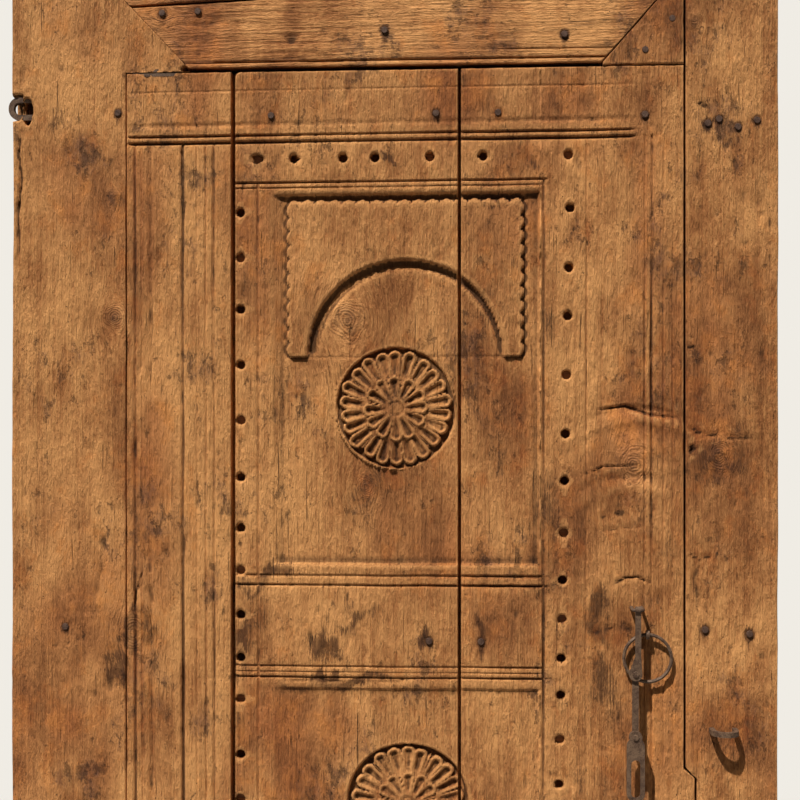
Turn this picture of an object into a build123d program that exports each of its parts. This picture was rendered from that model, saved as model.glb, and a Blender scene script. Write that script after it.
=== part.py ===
from build123d import *
import math
import os

# Carved temple door: a leaf of three carved planks, hung on iron pivots in a boarded frame.
# Millimetres, +Z up. The front faces -Y, and left and right are as seen from the front.
# The origin is on the ground, at the middle of the door's bounding box.

os.makedirs("parts", exist_ok=True)

# Frame
frame_top = 1980.0
board_thickness = 32.0
post_depth = 43.0
left_casing_width = 147.9
right_casing_width = 113.1
head_edge = 1738.0
shoulder_drop = 4.2
mitre_foot_left = 228.0
corner_board_width = 98.9
left_mitre_gap = 0.6
right_mitre_gap = 1.6
head_board_narrow_end = 79.0
head_board_angle = 2.6
head_board_gap = 3.0
head_board_grooves = [(6.5, 4.0, 2.5), (17.5, 2.5, 1.2)]
head_lip = 20.0
left_stop_cover = 80.0
right_stop_cover = 100.0
sill_height = 81.0

# Leaf
leaf_width = 698.0
hinge_gap = 1.2
closing_gap = 2.8
leaf_top_gap = 1.3
leaf_foot_gap = 3.0
stop_gap = 1.0
kink_step = 13.5
kink_low = 850.8
kink_high = 865.3
first_joint = 136.2
first_joint_gap = 5.0
second_joint = 421.6
second_joint_gap = 3.8
lap_depth = 16.0
lap_cover = 10.0
lap_clearance = 0.5

# Ledges across the back
ledge_width = 70.0
ledge_thickness = 25.0
ledge_end_clearance = 8.0
top_ledge_height = 1677.0
middle_ledge_height = 1018.0
bottom_ledge_height = 359.0

# Carving
groove_overrun = 1.0
panel_shift = 4.0
panel_width = 338.0
panel_depth = 5.0
panel_slope = 40.0
upper_panel_top = 1579.0
upper_panel_bottom = 1112.0
middle_panel_top = 960.0
middle_panel_depth = 2.5
spandrel_width = 298.0
spandrel_top = 1571.0
spandrel_bottom = 1373.0
spandrel_depth = 1.0
arch_radius = 122.0
scallop_pitch = 17.5
scallop_rise = 3.75
lobe_sides = 12

# Rosettes
upper_rosette_shift = -12.0
upper_rosette_height = 1309.0
lower_rosette_shift = 4.4
lower_rosette_height = 814.0
dish_radius = 76.0
dish_depth = 8.5
outer_petals = 22
outer_petal_tip = 71.0
outer_petal_level = 3.0
inner_petals = 12
inner_petal_tip = 40.0
inner_petal_level = 1.8
boss_radius = 8.4
boss_level = 1.0
boss_taper = 10.0
boss_sides = 12
petal_tip_sides = 8
petal_rim = 4.0
scoop_depth = 3.5
scoop_edge = 2.0

# Grooves along the rails, as distances from the leaf's end, widths and depths
rail_grooves = [(66.0, 6.0, 1.2), (80.0, 3.5, 2.5), (88.5, 5.0, 4.0)]
rail_groove_end = 637.0

# Grooves down the two sides, as distances from the leaf's edge, widths and depths
hinge_side_grooves = [(11.0, 3.5, 2.5), (31.0, 7.0, 1.2), (72.0, 5.0, 4.0)]
hinge_side_grooves += [(101.5, 2.5, 1.5), (112.0, 4.0, 2.0)]
lock_side_grooves = [(119.0, 2.5, 1.5), (47.5, 2.5, 1.5), (39.0, 3.5, 2.5), (24.5, 2.5, 1.0)]
field_left_groove = (168.0, 3.0, 2.0)
field_right_groove = (526.2, 5.0, 3.5)

# Level grooves round the field, as heights, widths and depths
field_start = 139.0
field_end = 533.0
upper_field_groove = (1592.8, 3.0, 2.5)
panel_foot_grooves = [(1099.0, 4.0, 2.2), (1087.0, 4.0, 3.5)]
middle_head_grooves = [(985.2, 3.0, 1.5), (971.4, 3.0, 2.0)]

# Peg holes
peg_hole_diameter = 12.5
peg_hole_depth = 12.0
peg_stub_depth = 8.0
peg_clearance = 0.1
peg_sides = 10
peg_row_height = 1623.0
peg_row = [167.0, 214.0, 276.0, 316.0, 385.0, 451.0, 556.0]
left_peg_column = 145.5
left_peg_heights = [1556, 1499, 1434, 1364, 1294, 1222, 1158, 1105, 1049, 995, 943, 873, 817]
right_peg_column = 559.5
right_peg_lean = 0.018
right_peg_heights = [1557, 1483, 1423, 1350, 1277, 1219, 1154, 1095, 1046, 997, 951, 896, 840]
peg_pitch = 58.0
lowest_peg = 190.0

# Nails
nail_shank = 4.2
nail_head = 9.0
nail_head_rise = 1.5
nail_head_taper = 25.0
nail_head_sides = 8
nail_clearance = 0.05
nail_bite = 20.0

# Pivots
pivot_inset = 10.0
pivot_from_face = 6.0
pivot_pin = 7.0
pivot_pin_length = 18.0
pivot_clearance = 0.06
pivot_plate_reach = 52.0
pivot_plate_width = 11.0
pivot_plate_thickness = 4.0
pivot_plate_clearance = 0.1
socket_play = 1.5
plate_nail = 3.5
plate_nail_length = 25.0
plate_nail_steps = [22.0, 42.0]

# Hasp
iron_reach = 28.0
hasp_rod = 4.5
rod_sides = 8
hasp_staple_height = 1062.7
hasp_staple_inset = 58.1
hasp_staple_width = 17.0
hasp_staple_reach = 24.0
staple_leg = 24.0
staple_bend_spare = 0.5
hasp_staple_bend = 2.5
hasp_bar = 3.0
hasp_top_width = 7.0
hasp_widening = 22.0
hasp_roll_wall = 2.2
hasp_play = 0.1
hasp_eye_radius = 8.0
hasp_eye_drop = 78.5
hasp_eye_side = -3.0
link_eye_drop = 77.0
link_waist = 8.0
end_link_length = 79.0
end_link_width = 22.0
slot_width = 11.0
slot_length = 46.0
rivet_diameter = 5.0
rivet_head = 8.5
rivet_head_rise = 1.6
rivet_sides = 8
rivet_clearance = 0.1
link_gap = 0.4

# Ring pull
ring_inset = 45.0
ring_height = 1001.4
ring_radius = 28.9
ring_rod = 4.5
ring_sides = 6
ring_from_face = 6.6
ring_eye_outer = 11.4
ring_eye_width = 4.0
ring_eye_shank = 25.4
ring_play = 0.35

# Staple eye on the right board
eye_inset = 68.3
eye_height = 912.9
eye_width = 34.0
eye_rod = 6.0

# Staple in the left edge
wall_eye_reach = 5.0
wall_eye_height = 1691.0
wall_eye_span = 23.0
wall_eye_rod = 7.0
wall_eye_leg = 30.0
worn_hole_width = 14.0
worn_hole_height = 36.0
worn_hole_inset = 20.0
worn_hole_drop = 4.5
worn_hole_depth = 22.0
worn_notch_reach = 24.0
worn_notch_height = 32.0

# Places worked out from the sizes
frame_width = left_casing_width + hinge_gap + leaf_width + closing_gap + right_casing_width
frame_left = (wall_eye_reach - frame_width) / 2
frame_right = frame_left + frame_width
frame_depth = board_thickness + post_depth
face_y = (iron_reach - frame_depth) / 2
casing_edge = frame_left + left_casing_width
leaf_left = casing_edge + hinge_gap
leaf_right = leaf_left + leaf_width
right_casing_edge = leaf_right + closing_gap
shoulder = head_edge - shoulder_drop
leaf_top = shoulder - leaf_top_gap
leaf_bottom = sill_height + leaf_foot_gap
leaf_thickness = board_thickness - stop_gap
mitre_left = frame_left + mitre_foot_left
mitre_foot_right = right_casing_width + closing_gap + corner_board_width
mitre_right = frame_right - mitre_foot_right
head_rise = frame_top - head_edge
left_stop_edge = leaf_left + left_stop_cover
right_stop_edge = leaf_right - right_stop_cover
joint_one = leaf_left + first_joint
joint_two = leaf_left + second_joint
panel_x = leaf_left + leaf_width / 2 + panel_shift
pivot_x = leaf_left + pivot_inset
pivot_y = face_y + pivot_from_face
hasp_x = leaf_right - hasp_staple_inset
ring_x = leaf_right - ring_inset
eye_x = frame_right - eye_inset
hasp_axis_ahead = hasp_staple_reach - hasp_rod / 2


def upright(depth):
    """The plane parallel to the front face, this far behind it, that looks to the front."""
    return Plane.XZ.offset(-(face_y + depth))


def board(outline, depth, thickness):
    """Adds a board to the active part: its outline in X and Z, its front this far behind the face."""
    with BuildSketch(upright(depth + thickness)) as profile:
        with BuildLine():
            Polyline(*outline, close=True)
        make_face()
    extrude(profile.sketch, amount=thickness)


def block(x_low, x_high, z_low, z_high, depth, thickness):
    """Adds a square-edged block to the active part."""
    board([(x_low, z_low), (x_high, z_low), (x_high, z_high), (x_low, z_high)], depth, thickness)


def upright_groove(x, low, high, width, deep):
    """Adds the wedge that a V groove up the front face takes out; width is at the face."""
    with BuildSketch(Plane.XY.offset(low)) as wedge:
        with BuildLine():
            Polyline(
                (x - width / 2, face_y),
                (x - width / 2, face_y - groove_overrun),
                (x + width / 2, face_y - groove_overrun),
                (x + width / 2, face_y),
                (x, face_y + deep),
                close=True,
            )
        make_face()
    extrude(wedge.sketch, amount=high - low)


def level_groove(height, left, right, width, deep, mode=Mode.ADD):
    """Adds, or takes out, the wedge of a V groove across the front face; width is at the face."""
    with BuildSketch(Plane.YZ.offset(left)) as wedge:
        with BuildLine():
            Polyline(
                (face_y, height - width / 2),
                (face_y - groove_overrun, height - width / 2),
                (face_y - groove_overrun, height + width / 2),
                (face_y, height + width / 2),
                (face_y + deep, height),
                close=True,
            )
        make_face()
    extrude(wedge.sketch, amount=right - left, mode=mode)


def write(piece, name):
    """Labels a finished piece and writes it to its own file."""
    piece.part.label = name
    export_step(piece.part, f"parts/{name}.step")


# Places of the nails, as distances from the frame's left edge and heights
nail_row = head_edge - 78.0
casing_nails = [(left_casing_width - 10.0, head_edge - 55.0)]
casing_nails += [(frame_width - 86.5, nail_row), (frame_width - 73.0, nail_row + 5.0)]
casing_nails += [(frame_width - 50.0, nail_row - 5.0), (frame_width - 27.0, nail_row + 3.0)]
casing_nails += [(frame_width - 90.0, 1036.0), (frame_width - 36.0, 1031.5)]
head_nails = [(frame_width / 2 - 4.5, head_edge + 44.0), (frame_width - 262.2, head_edge + 35.0)]
head_nails += [(194.6, head_edge + 70.7), (240.5, head_edge + 72.0)]
plain_casing_nails = [(70.0, 1031.0), (70.0, 400.0), (100.0, 150.0)]
plain_casing_nails += [(frame_width - 58.0, 400.0), (frame_width - 58.0, 150.0)]
upper_head_nails = [(150.0, frame_top - 55.0), (frame_width / 2 - 0.5, frame_top - 75.0)]
upper_head_nails += [(frame_width - 133.0, frame_top - 55.0)]
corner_nails = [(frame_width - 163.0, head_edge + 14.0), (frame_width - 130.0, head_edge + 52.0)]
all_frame_nails = casing_nails + head_nails + plain_casing_nails + upper_head_nails + corner_nails
joint_one_inset = left_casing_width + hinge_gap + first_joint
joint_two_inset = left_casing_width + hinge_gap + second_joint
ledge_nails = []
for height in (top_ledge_height, bottom_ledge_height):
    ledge_nails += [(joint_one_inset + 48.4, height)]
    ledge_nails += [(joint_two_inset - 29.3, height), (joint_two_inset + 47.9, height)]
ledge_nails += [(joint_two_inset - 38.0, middle_ledge_height), (joint_two_inset + 26.8, middle_ledge_height)]
lone_nail = (frame_width - right_casing_width - closing_gap - 47.4, head_edge - 66.0)
rear_nail_inset = 109.0
rear_nail_length = 45.0


def nail_holes(places, deep):
    """Cuts a nail's square hole in the active part at each place, from the face to this depth."""
    with BuildSketch(upright(deep)) as holes:
        with Locations(*[(frame_left + inset, height) for inset, height in places]):
            Rectangle(nail_shank + 2 * nail_clearance, nail_shank + 2 * nail_clearance)
    extrude(holes.sketch, amount=deep + groove_overrun, mode=Mode.SUBTRACT)


def nails(places, deep):
    """Adds a forged nail at each place: a square shank to this depth and a low hammered head."""
    with BuildSketch(upright(deep)) as shanks:
        with Locations(*[(frame_left + inset, height) for inset, height in places]):
            Rectangle(nail_shank, nail_shank)
    extrude(shanks.sketch, amount=deep)
    with BuildSketch(upright(0)) as heads:
        with Locations(*[(frame_left + inset, height) for inset, height in places]):
            RegularPolygon(nail_head / 2, nail_head_sides)
    extrude(heads.sketch, amount=nail_head_rise, taper=nail_head_taper)


def plate_slot(height, spare):
    """The outline of a pivot plate at this height: a long slot that starts round the pivot."""
    with BuildSketch(Plane.XY.offset(height)) as outline:
        with Locations((pivot_x + pivot_plate_reach / 2, pivot_y)):
            SlotCenterToCenter(pivot_plate_reach, pivot_plate_width + 2 * spare)
    return outline.sketch


def plate_nail_spots(height, width):
    """A square for each of a pivot plate's nails, at this height."""
    with BuildSketch(Plane.XY.offset(height)) as spots:
        with Locations(*[(pivot_x + step, pivot_y) for step in plate_nail_steps]):
            Rectangle(width, width)
    return spots.sketch


def pivot_seat(height, inward):
    """Cuts a frame plate's seat, its nail holes and the pin's room; inward is 1 up or -1 down."""
    extrude(plate_slot(height, pivot_plate_clearance), inward * pivot_plate_thickness, mode=Mode.SUBTRACT)
    with BuildSketch(Plane.XY.offset(height)) as bore:
        with Locations((pivot_x, pivot_y)):
            Circle(pivot_pin / 2 + pivot_clearance)
    extrude(bore.sketch, inward * (pivot_pin_length + socket_play), mode=Mode.SUBTRACT)
    nail_room = plate_nail_spots(height, plate_nail + 2 * nail_clearance)
    extrude(nail_room, inward * plate_nail_length, mode=Mode.SUBTRACT)


def socket_plate(height, inward, name):
    """The iron plate in the frame that a pivot pin turns in."""
    with BuildPart() as plate:
        extrude(plate_slot(height, 0), inward * pivot_plate_thickness)
        with BuildSketch(Plane.XY.offset(height)) as bore:
            with Locations((pivot_x, pivot_y)):
                Circle(pivot_pin / 2 + pivot_clearance)
        extrude(bore.sketch, inward * pivot_plate_thickness, mode=Mode.SUBTRACT)
        nail_room = plate_nail_spots(height, plate_nail + 2 * nail_clearance)
        extrude(nail_room, inward * pivot_plate_thickness, mode=Mode.SUBTRACT)
    write(plate, name)


def pivot_plate(height, outward, name):
    """The iron plate in the leaf's end, with the pin that stands on it; outward is 1 up or -1 down."""
    with BuildPart() as plate:
        extrude(plate_slot(height, 0), -outward * pivot_plate_thickness)
        nail_room = plate_nail_spots(height, plate_nail + 2 * nail_clearance)
        extrude(nail_room, -outward * pivot_plate_thickness, mode=Mode.SUBTRACT)
        with BuildSketch(Plane.XY.offset(height)) as pin:
            with Locations((pivot_x, pivot_y)):
                Circle(pivot_pin / 2)
        extrude(pin.sketch, outward * pivot_pin_length)
    write(plate, name)


# Posts, head beam and sill behind the boards
post_nail_depth = board_thickness + nail_bite
with BuildPart() as left_post:
    block(frame_left, left_stop_edge, 0, frame_top, board_thickness, post_depth)
    nail_holes([n for n in all_frame_nails if n[0] < left_stop_edge - frame_left], post_nail_depth)
write(left_post, "left_post")

with BuildPart() as right_post:
    block(right_stop_edge, frame_right, 0, frame_top, board_thickness, post_depth)
    nail_holes([n for n in all_frame_nails if n[0] > right_stop_edge - frame_left], post_nail_depth)
write(right_post, "right_post")

with BuildPart() as head_beam:
    block(left_stop_edge, right_stop_edge, head_edge - head_lip, frame_top, board_thickness, post_depth)
    beam_reach = [left_stop_edge - frame_left, right_stop_edge - frame_left]
    nail_holes([n for n in all_frame_nails if beam_reach[0] < n[0] < beam_reach[1]], post_nail_depth)
write(head_beam, "head_beam")

sill_right = right_casing_edge + kink_step
with BuildPart() as sill:
    with BuildSketch() as sill_plan:
        with BuildLine():
            Polyline(
                (casing_edge, face_y),
                (sill_right, face_y),
                (sill_right, face_y + board_thickness),
                (right_stop_edge, face_y + board_thickness),
                (right_stop_edge, face_y + frame_depth),
                (left_stop_edge, face_y + frame_depth),
                (left_stop_edge, face_y + board_thickness),
                (casing_edge, face_y + board_thickness),
                close=True,
            )
        make_face()
    extrude(amount=sill_height)
    pivot_seat(sill_height, -1)
write(sill, "sill")

# Boards on the front of the frame
frame_nail_depth = board_thickness + groove_overrun


def in_range(places, low, high, floor=0.0, ceiling=frame_top):
    """The nails whose distance from the frame's left edge and whose height lie in these ranges."""
    return [spot for spot in places if low < spot[0] < high and floor < spot[1] < ceiling]


left_board_nails = in_range(all_frame_nails, 0, left_casing_width, 0, head_edge)
right_board_nails = in_range(all_frame_nails, right_casing_edge - frame_left, frame_width, 0, head_edge)

with BuildPart() as left_casing:
    board(
        [
            (frame_left, 0),
            (casing_edge, 0),
            (casing_edge, shoulder),
            (mitre_left, shoulder),
            (mitre_left, head_edge),
            (frame_left, frame_top),
        ],
        0,
        board_thickness,
    )
    nail_holes(left_board_nails, frame_nail_depth)
    pivot_seat(shoulder, 1)
    with BuildSketch(upright(worn_hole_depth)) as worn:
        with Locations((frame_left + worn_hole_inset, wall_eye_height - worn_hole_drop)):
            Ellipse(worn_hole_width / 2, worn_hole_height / 2)
        with Locations((frame_left, wall_eye_height)):
            Rectangle(worn_notch_reach, worn_notch_height)
    extrude(worn.sketch, amount=worn_hole_depth + groove_overrun, mode=Mode.SUBTRACT)
    with BuildSketch(Plane.YZ.offset(frame_left)) as leg_holes:
        with Locations((face_y + wall_eye_rod, wall_eye_height)):
            with GridLocations(1, wall_eye_span, 1, 2):
                Rectangle(wall_eye_rod + 2 * nail_clearance, wall_eye_rod + 2 * nail_clearance)
    extrude(leg_holes.sketch, amount=wall_eye_leg, mode=Mode.SUBTRACT)
write(left_casing, "left_casing")

right_mitre_slope = head_rise / mitre_foot_right
corner_mitre_height = head_edge + (leaf_right - mitre_right) * right_mitre_slope
board_mitre_height = head_edge + (right_casing_edge - mitre_right) * right_mitre_slope

with BuildPart() as right_casing:
    board(
        [
            (right_casing_edge + kink_step, 0),
            (frame_right, 0),
            (frame_right, frame_top),
            (right_casing_edge, board_mitre_height),
            (right_casing_edge, kink_high),
            (right_casing_edge + kink_step, kink_low),
        ],
        0,
        board_thickness,
    )
    nail_holes(right_board_nails, frame_nail_depth)
    with BuildSketch(upright(staple_leg)) as eye_legs:
        with Locations((eye_x, eye_height)):
            with GridLocations(eye_width - eye_rod, 1, 2, 1):
                Rectangle(eye_rod + 2 * nail_clearance, eye_rod + 2 * nail_clearance)
    extrude(eye_legs.sketch, amount=staple_leg + groove_overrun, mode=Mode.SUBTRACT)
write(right_casing, "right_casing")

with BuildPart() as corner_board:
    board(
        [
            (mitre_right, shoulder),
            (leaf_right, shoulder),
            (leaf_right, corner_mitre_height),
            (mitre_right, head_edge),
        ],
        0,
        board_thickness,
    )
    nail_holes(corner_nails, frame_nail_depth)
write(corner_board, "corner_board")

joint_start_x = mitre_left - head_board_narrow_end * mitre_foot_left / head_rise
joint_start = (joint_start_x, head_edge + head_board_narrow_end)


def head_board(side):
    """Adds the head's board below the sloping joint, for side -1, or the one above it, for side 1."""
    with BuildSketch(upright(board_thickness)) as outline:
        with BuildLine():
            Polyline(
                (mitre_left + left_mitre_gap, head_edge),
                (mitre_right - right_mitre_gap, head_edge),
                (frame_right - right_mitre_gap, frame_top),
                (frame_left + left_mitre_gap, frame_top),
                close=True,
            )
        make_face()
        with Locations(Location(joint_start, head_board_angle)):
            with Locations((0, side * (head_board_gap / 2 - frame_width))):
                Rectangle(4 * frame_width, 2 * frame_width, mode=Mode.SUBTRACT)
    extrude(outline.sketch, amount=board_thickness)


with BuildPart() as lower_head_board:
    head_board(-1)
    for above_edge, width, deep in head_board_grooves:
        level_groove(head_edge + above_edge, frame_left, frame_right, width, deep, Mode.SUBTRACT)
    nail_holes(head_nails, frame_nail_depth)
write(lower_head_board, "lower_head_board")

with BuildPart() as upper_head_board:
    head_board(1)
    nail_holes(upper_head_nails, frame_nail_depth)
write(upper_head_board, "upper_head_board")

with BuildPart() as frame_nails:
    nails(all_frame_nails, post_nail_depth - groove_overrun)
write(frame_nails, "frame_nails")

# Pivots
socket_plate(shoulder, 1, "top_socket_plate")
socket_plate(sill_height, -1, "bottom_socket_plate")
pivot_plate(leaf_top, 1, "top_pivot")
pivot_plate(leaf_bottom, -1, "bottom_pivot")

with BuildPart() as frame_plate_nails:
    spots = plate_nail_spots(shoulder, plate_nail)
    extrude(spots, plate_nail_length)
    spots = plate_nail_spots(sill_height, plate_nail)
    extrude(spots, -plate_nail_length)
write(frame_plate_nails, "frame_plate_nails")

with BuildPart() as leaf_plate_nails:
    spots = plate_nail_spots(leaf_top, plate_nail)
    extrude(spots, -plate_nail_length)
    spots = plate_nail_spots(leaf_bottom, plate_nail)
    extrude(spots, plate_nail_length)
write(leaf_plate_nails, "leaf_plate_nails")

# Rosette, modelled facing +Z with the door's face at height 0
def tip_radius(count, tip):
    """The radius of the round tips of a ring of petals, so that neighbours meet."""
    return math.pi * tip / (count + math.pi)


def petals(count, tip, level):
    """Adds a disc with an eight-sided tip for each petal, its top this far below the face."""
    centre = tip - tip_radius(count, tip)
    with BuildSketch(Plane.XY.offset(-dish_depth - groove_overrun)) as outline:
        RegularPolygon(centre, count, rotation=180 / count)
        with PolarLocations(centre, count):
            RegularPolygon(tip_radius(count, tip), petal_tip_sides)
    extrude(outline.sketch, amount=dish_depth + groove_overrun - level)


def scoop(count, tip, level, root):
    """Adds the wedge that a V gouge takes out of a petal along +X, deeper from its root to its rim."""
    end = tip - petal_rim
    run = end - root
    half_width = tip_radius(count, tip) - scoop_edge
    with BuildSketch(Plane(origin=(end, 0, -level), x_dir=(0, 1, 0), z_dir=(-1, 0, 0))) as section:
        with BuildLine():
            Polyline(
                (-2 * half_width, -scoop_depth),
                (2 * half_width, -scoop_depth),
                (0, scoop_depth),
                close=True,
            )
        make_face()
    extrude(section.sketch, amount=run, dir=(-1, 0, scoop_depth / run))


with BuildPart() as outer_scoop:
    scoop(outer_petals, outer_petal_tip, outer_petal_level, inner_petal_tip - petal_rim)

with BuildPart() as inner_scoop:
    scoop(inner_petals, inner_petal_tip, inner_petal_level, boss_radius)

with BuildPart() as rosette:
    petals(outer_petals, outer_petal_tip, outer_petal_level)
    with PolarLocations(0, outer_petals):
        add(outer_scoop.part, mode=Mode.SUBTRACT)
    petals(inner_petals, inner_petal_tip, inner_petal_level)
    with PolarLocations(0, inner_petals):
        add(inner_scoop.part, mode=Mode.SUBTRACT)
    with BuildSketch(Plane.XY.offset(-dish_depth)) as boss:
        RegularPolygon(boss_radius, boss_sides)
    extrude(boss.sketch, amount=dish_depth - boss_level, taper=boss_taper)


# Everything that the carver took out of the leaf's front, as one solid
def sunk_panel(top, bottom, deep):
    """Adds a sunk panel with sloping sides."""
    slope_run = deep * math.tan(math.radians(panel_slope))
    with BuildSketch(upright(deep)) as floor:
        with Locations((panel_x, (top + bottom) / 2)):
            Rectangle(panel_width - 2 * slope_run, top - bottom - 2 * slope_run)
    extrude(floor.sketch, amount=deep + groove_overrun, taper=-panel_slope)


def rosette_dish(x, height):
    """Adds the round dish of a rosette and leaves the flower standing in it."""
    with BuildSketch(upright(dish_depth)) as floor:
        with Locations((x, height)):
            Circle(dish_radius)
    extrude(floor.sketch, amount=dish_depth + groove_overrun, taper=-panel_slope)
    place = Plane(origin=(x, face_y, height), x_dir=(1, 0, 0), z_dir=(0, -1, 0)).location
    add(rosette.part.moved(place), mode=Mode.SUBTRACT)


def spandrel():
    """Leaves the scalloped board over the arch standing in the upper panel."""
    lobe = (scallop_rise**2 + (scallop_pitch / 2) ** 2) / (2 * scallop_rise)
    across = round(spandrel_width / scallop_pitch)
    down = round((spandrel_top - spandrel_bottom) / scallop_pitch)
    height = down * scallop_pitch
    side_lobes_apart = across * scallop_pitch + 2 * (scallop_rise - lobe)
    with BuildSketch(upright(panel_depth + groove_overrun)) as outline:
        with Locations((panel_x, spandrel_top - scallop_rise - height / 2)):
            Rectangle(across * scallop_pitch, height)
        with Locations((panel_x, spandrel_top - lobe)):
            with GridLocations(scallop_pitch, 1, across, 1):
                RegularPolygon(lobe, lobe_sides)
        with Locations((panel_x, spandrel_top - scallop_rise - height / 2)):
            with GridLocations(side_lobes_apart, scallop_pitch, 2, down):
                RegularPolygon(lobe, lobe_sides)
        with Locations((panel_x, spandrel_bottom)):
            Circle(arch_radius, mode=Mode.SUBTRACT)
            with Locations((0, -frame_width / 2)):
                Rectangle(frame_width, frame_width, mode=Mode.SUBTRACT)
    extrude(outline.sketch, amount=panel_depth + groove_overrun - spandrel_depth, mode=Mode.SUBTRACT)


def mirrored(height):
    """The height as far below the lower rosette as this one is above it."""
    return 2 * lower_rosette_height - height


lower_panel_bottom = leaf_bottom + leaf_top - upper_panel_top
column_reach = rail_grooves[-1][0]
steps_down = range(1, 1 + int((left_peg_heights[-1] - lowest_peg) / peg_pitch))
left_heights = left_peg_heights + [left_peg_heights[-1] - step * peg_pitch for step in steps_down]
right_heights = right_peg_heights + [right_peg_heights[-1] - step * peg_pitch for step in steps_down]
peg_spots = [(leaf_left + inset, peg_row_height) for inset in peg_row]
peg_spots += [(leaf_left + left_peg_column, height) for height in left_heights]
lean = [right_peg_column - right_peg_lean * (peg_row_height - height) for height in right_heights]
peg_spots += [(leaf_left + inset, height) for inset, height in zip(lean, right_heights)]

rail_reach = (leaf_left + hinge_side_grooves[0][0], leaf_left + rail_groove_end)

with BuildPart() as carving:
    for inset, width, deep in rail_grooves:
        for height in (leaf_top - inset, leaf_bottom + inset):
            level_groove(height, *rail_reach, width, deep)
    for inset, width, deep in hinge_side_grooves:
        upright_groove(leaf_left + inset, leaf_bottom + column_reach, leaf_top - column_reach, width, deep)
    for inset, width, deep in lock_side_grooves:
        upright_groove(leaf_right - inset, leaf_bottom + column_reach, leaf_top - column_reach, width, deep)
    for inset, width, deep in (field_left_groove, field_right_groove):
        upright_groove(leaf_left + inset, lower_panel_bottom, upper_panel_top, width, deep)
    field = (leaf_left + field_start, leaf_left + field_end)
    level_groove(upper_field_groove[0], *field, *upper_field_groove[1:])
    level_groove(leaf_bottom + leaf_top - upper_field_groove[0], *field, *upper_field_groove[1:])
    for height, width, deep in panel_foot_grooves + middle_head_grooves:
        level_groove(height, *field, width, deep)
        level_groove(mirrored(height), *field, width, deep)
    with BuildSketch(upright(peg_hole_depth)) as holes:
        with Locations(*peg_spots):
            RegularPolygon(peg_hole_diameter / 2, peg_sides)
    extrude(holes.sketch, amount=peg_hole_depth + groove_overrun)
    sunk_panel(upper_panel_top, upper_panel_bottom, panel_depth)
    sunk_panel(middle_panel_top, mirrored(middle_panel_top), middle_panel_depth)
    sunk_panel(mirrored(upper_panel_bottom), lower_panel_bottom, panel_depth)
    spandrel()
    rosette_dish(panel_x + upper_rosette_shift, upper_rosette_height)
    rosette_dish(panel_x + lower_rosette_shift, lower_rosette_height)

# Planks of the leaf
def plank(start, plan_points):
    """Adds a plank to the active part from the points of its plan that follow the start."""
    with BuildSketch(Plane.XY.offset(leaf_bottom)) as plan:
        with BuildLine():
            Polyline(*start, *plan_points, close=True)
        make_face()
    extrude(plan.sketch, amount=leaf_top - leaf_bottom)


def tongue(joint, gap):
    """Plan points of a plank's right edge, front to back, with a tongue behind the next plank."""
    tongue_front = face_y + lap_depth + lap_clearance
    reach = joint + gap / 2 + lap_cover
    return [
        (joint - gap / 2, face_y),
        (joint - gap / 2, tongue_front),
        (reach, tongue_front),
        (reach, face_y + leaf_thickness),
    ]


def rebate(joint, gap):
    """Plan points of a plank's left edge, back to front, cut back over the last plank's tongue."""
    inner = joint + gap / 2 + lap_cover + lap_clearance
    return [
        (inner, face_y + leaf_thickness),
        (inner, face_y + lap_depth),
        (joint + gap / 2, face_y + lap_depth),
        (joint + gap / 2, face_y),
    ]


ledge_nail_depth = leaf_thickness + ledge_thickness
ledge_left = left_stop_edge + ledge_end_clearance
ledge_right = right_stop_edge - ledge_end_clearance
ledge_heights = [("top", top_ledge_height), ("middle", middle_ledge_height)]
ledge_heights += [("bottom", bottom_ledge_height)]
rear_nail_spots = [(leaf_left + rear_nail_inset - frame_left, height) for _, height in ledge_heights]
rear_nail_front = ledge_nail_depth - rear_nail_length


def rear_nail_holes():
    """Cuts the holes of the nails that come from behind and stop inside the plank."""
    with BuildSketch(upright(ledge_nail_depth + groove_overrun)) as holes:
        with Locations(*[(frame_left + inset, height) for inset, height in rear_nail_spots]):
            Rectangle(nail_shank + 2 * nail_clearance, nail_shank + 2 * nail_clearance)
    extrude(holes.sketch, amount=rear_nail_length + groove_overrun, mode=Mode.SUBTRACT)


heel = pivot_inset
heel_run = math.sqrt(heel**2 - pivot_from_face**2)
heel_angle = math.degrees(math.atan2(pivot_from_face, heel_run))
back_heel = leaf_thickness - pivot_from_face
back_heel_angle = math.degrees(math.asin(heel / back_heel))

with BuildPart() as hinge_plank:
    with BuildSketch(Plane.XY.offset(leaf_bottom)) as hinge_plan:
        with BuildLine():
            Polyline(
                (pivot_x, pivot_y + back_heel),
                *reversed(tongue(joint_one, first_joint_gap)),
                (pivot_x - heel_run, face_y),
            )
            CenterArc((pivot_x, pivot_y), heel, 180 + heel_angle, -heel_angle)
            Line(
                (pivot_x - heel, pivot_y),
                (pivot_x - heel, pivot_y + math.sqrt(back_heel**2 - heel**2)),
            )
            CenterArc((pivot_x, pivot_y), back_heel, 90 + back_heel_angle, -back_heel_angle)
        make_face()
    extrude(hinge_plan.sketch, amount=leaf_top - leaf_bottom)
    add(carving.part, mode=Mode.SUBTRACT)
    rear_nail_holes()
    for end, inward in ((leaf_top, -1), (leaf_bottom, 1)):
        extrude(plate_slot(end, pivot_plate_clearance), inward * pivot_plate_thickness, mode=Mode.SUBTRACT)
        nail_room = plate_nail_spots(end, plate_nail + 2 * nail_clearance)
        extrude(nail_room, inward * plate_nail_length, mode=Mode.SUBTRACT)
write(hinge_plank, "hinge_plank")

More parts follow.
